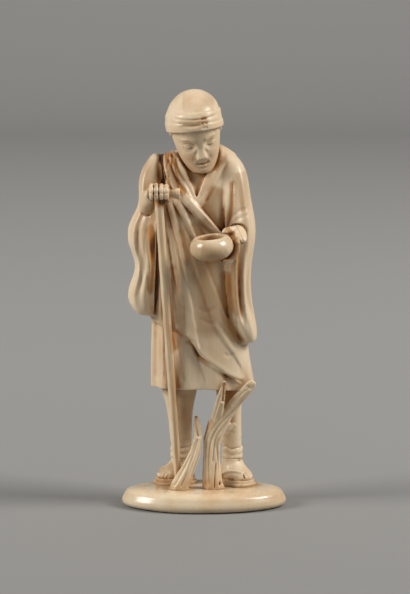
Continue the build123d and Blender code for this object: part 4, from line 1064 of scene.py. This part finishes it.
staff_top, staff_foot = Vector((-18.9, bar_y, bar_z)), Vector((-10.8, -1.6, slab_height))
staff_run = (staff_foot - staff_top).normalized()
staff = planed_rod("carved_staff", staff_top + staff_run * 1.6, staff_foot + staff_run * 0.35, 2.05, 1.7, 8, 0.0)
make_clay(staff, STAFF_GRAIN, 1)
bar_free_end, bar_held_end = Vector((-9.9, bar_y, bar_z)), Vector((-24.2, bar_y, bar_z))
crossbar = planed_rod("carved_crossbar", bar_free_end, bar_held_end, 2.2, 1.8, 10, 0.3)
make_clay(crossbar, CROSSBAR_GRAIN, 2)
points = points_of(crossbar)
flare = 1 + 0.14 * ease(points[:, 0], -13.4, -9.9) - 0.12 * bell(points[:, 0], -14.0, 1.2)
points[:, 1:] = (points[:, 1:] - (bar_y, bar_z)) * flare[:, None] + (bar_y, bar_z)
place_points(crossbar, points)
for rod, start, end in ((staff, staff_top, staff_foot), (crossbar, bar_free_end, bar_held_end)):
    points = points_of(rod)
    run = np.array(end - start)
    along = (points - np.array(start)) @ run / (run @ run)
    knife = 0.05 * np.sin(along * 61.0) + 0.04 * np.sin(along * 23.0 + 1.0)
    push(rod, knife - 0.06)

# ---- Shelter and creases, which the stains, the painted shade and the painted highlights follow

figure = [robe, right_sleeve, left_sleeve, head, right_hand, left_hand, right_leg, left_leg, right_foot, left_foot]


def ray_directions(count):
    """Directions spread evenly over a half sphere about Z, more of them near Z."""
    directions = []
    for number in range(count):
        height = math.sqrt(1 - (number + 0.5) / count)
        turn = number * math.pi * (3 - math.sqrt(5))
        reach = math.sqrt(1 - height * height)
        directions.append((reach * math.cos(turn), reach * math.sin(turn), height))
    return np.array(directions)


# Strokes on the front, each a line with its strength and width, added to the shelter value. Old stains,
# which also darken these hollows as painted shade: where the robe meets the staff, the sleeves and the shawl,
# under the bar, on the legs and where the stumps branch. Some are painted shade, such as the broad band down
# the robe's middle and the one under the bowl. The last ones are negative: painted light that makes places lying in
# shade paler.
front_stains_shade_and_light = (
    ([(-17.6, 154), (-17.2, 142), (-17, 131)], 1.50, 1.5),
    ([(-14.6, 153), (-12.4, 143), (-8.4, 134.5)], 0.95, 2.1),
    ([(9.4, 104), (9.8, 92), (10.2, 82), (13, 75), (17, 70.5)], 0.62, 1.9),
    ([(14, 120), (13.5, 106), (13.6, 92), (15.2, 82)], 0.40, 1.5),
    ([(-22.6, 124), (-22, 108), (-22.2, 92)], 0.40, 1.8),
    ([(12, 142), (11.6, 130), (9.4, 119)], 0.40, 1.2),
    ([(-20.6, 134.6), (-18.4, 133.8), (-16, 134.6)], 0.75, 1.7),
    ([(-8.6, 50), (-7.8, 36), (-6.6, 24)], 0.12, 3.0),
    ([(-0.6, 33), (1.4, 35.4), (3.6, 39)], 0.50, 1.4),
    ([(9.6, 50), (11.6, 46)], 0.45, 1.6),
    # Painted shade on the bowl's underside and on the robe behind it
    ([(0, 110.2), (4, 109.6), (9.4, 111.6)], 0.65, 1.6),
    ([(-1.5, 114.4), (4, 113.6), (11, 114.6)], 0.24, 2.2),
    ([(-9, 73), (-5, 71.4), (-1, 64.6), (6, 59.4), (15, 55.4)], 0.20, 0.9),
    ([(-21, 9), (-18, 9.4), (-15, 9)], 0.35, 1.6),
    ([(-20.5, 14.5), (-12.5, 17)], 0.22, 3.0),
    ([(-14.4, 84), (-12.6, 52), (-11.2, 14)], 0.50, 0.7),
    # Painted shade: a broad darker band down the robe's middle
    ([(-6, 126), (-2, 108), (1, 92), (2.5, 70)], 0.28, 7.5),
    ([(2.4, 122), (3, 131), (6.4, 140)], 0.25, 4.0),
    ([(-11.5, 166.4), (-4, 166.6), (3, 167.6)], 0.24, 1.9),
    ([(-10, 175), (6, 175)], 0.19, 5.5),
    ([(15, 146), (16.5, 126)], 0.24, 3.5),
    ([(-24.5, 151), (-24, 136)], 0.18, 3.0),
    ([(-26, 131), (-21.5, 131)], 0.16, 2.2),
    # From here on, painted light: negative strokes that make places lying in shade paler
    ([(-14.5, 122), (-14, 104)], -0.22, 2.4),
    ([(-19.5, 126), (-19.8, 104), (-20, 80)], -0.55, 1.2),
    ([(-8, 119), (-1, 121)], -0.12, 3.0),
    ([(-12.5, 70), (-8, 60), (-2, 57), (6, 56)], -0.32, 4.5),
    ([(-12.5, 154), (-8.5, 144), (-3, 134)], -0.30, 1.5),
    ([(11, 122), (15.5, 125.5), (20.5, 126.5)], -0.35, 2.2),
    ([(8, 14.5), (17, 12)], -0.25, 4.0),
    ([(17.5, 122), (19, 100), (20, 80)], -0.18, 2.0),
    ([(-28.5, 120), (-27.5, 100), (-27.5, 88)], -0.22, 2.5),
)

# The hand on the bar and the bar itself get none of the lines of stain, painted shade and painted light, and are
# darker all over
handled_pieces = (right_hand, crossbar)
handled_tone = 0.13


def measure_shelter(pieces, rays=20, reach=16.0, cell=1.3):
    """Writes how closed in each vertex is, and how hollow or ridged the skin is there."""
    copies = [add_object(piece.name + "_copy", piece.data.copy()) for piece in pieces]
    choose(*copies)
    bpy.ops.object.join()
    whole = copies[0]
    tree = BVHTree.FromObject(whole, bpy.context.evaluated_depsgraph_get())
    directions = ray_directions(rays)
    for piece in pieces:
        points = points_of(piece)
        normals = normals_of(piece)
        edges = edges_of(piece)
        cells = np.floor(points / cell).astype(int)
        facing = (normals > 0).astype(int)
        keys = np.concatenate([cells, facing], axis=1)
        kinds, first, group = np.unique(keys, axis=0, return_index=True, return_inverse=True)
        group = group.ravel()
        closed = np.zeros(len(kinds))
        for index, vertex in enumerate(first):
            normal = Vector(normals[vertex])
            start = (Vector(points[vertex]) + 0.25 * normal) * MM
            turn = normal.to_track_quat("Z", "Y").to_matrix()
            for direction in directions:
                hit = tree.ray_cast(start, turn @ Vector(direction), reach * MM)
                if hit[0] is not None:
                    closed[index] += 1 - hit[3] / (reach * MM)
        # The share of nearby rays that hit something, an ambient-occlusion measure; the finish turns it into patina
        # and painted shade
        recess = even_out((closed / rays)[group], edges, 10)
        if piece in handled_pieces:
            recess = recess + handled_tone
        # Adds the front stroke lines: stains and painted shade, and painted light where negative
        for corners, strength, width in () if piece in handled_pieces else front_stains_shade_and_light:
            signed, along = near_line(points[:, 0], points[:, 2], corners)
            fade = bell(signed, 0, width) * (1 - ease(points[:, 1], 6, 12))
            recess = recess + strength * fade * ends(along, 0.1, 0.15)
        recess = np.maximum(recess, 0)
        # How hollow or ridged the skin is; the finish puts dirt and painted shade in the hollows and wear and a
        # painted highlight on the ridges
        broad = even_out(points, edges, 14)
        fine = even_out(points, edges, 4)
        hollow = np.einsum("ij,ij->i", broad - points, normals)
        sharp = np.einsum("ij,ij->i", fine - points, normals)
        crease = np.clip(0.5 + 1.1 * hollow + 1.6 * sharp, 0, 1)
        for name, values in (("recess", recess), ("crease", even_out(crease, edges, 2))):
            attribute = piece.data.attributes.new(name, "FLOAT", "POINT")
            attribute.data.foreach_set("value", values.astype(np.float32))
    bpy.data.objects.remove(whole)


measure_shelter(figure + [stump_short, stump_forked, base, bowl, staff, crossbar])

# ---- What each piece is made of and stands for

for material, slot, pieces in (
    (carved, "carved_ivory", figure),
    (stained, "stained_ivory", (stump_short, stump_forked, staff, crossbar)),
    (polished, "polished_ivory", (base, bowl)),
):
    for piece in pieces:
        piece.data.materials.clear()
        piece.data.materials.append(material)
        choose(piece)
        bpy.ops.object.shade_smooth_by_angle(angle=math.radians(50))
        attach(piece, "root")
        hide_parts(piece.name.removeprefix("carved_"))

for node, piece in frame["nodes"].items():
    if not piece.hide_render:
        piece.data.materials.clear()
        piece.data.materials.append(bamboo)

low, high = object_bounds()
corners = {"cad": [list(cad_low), list(cad_high)], "visual": [list(low), list(high)]}
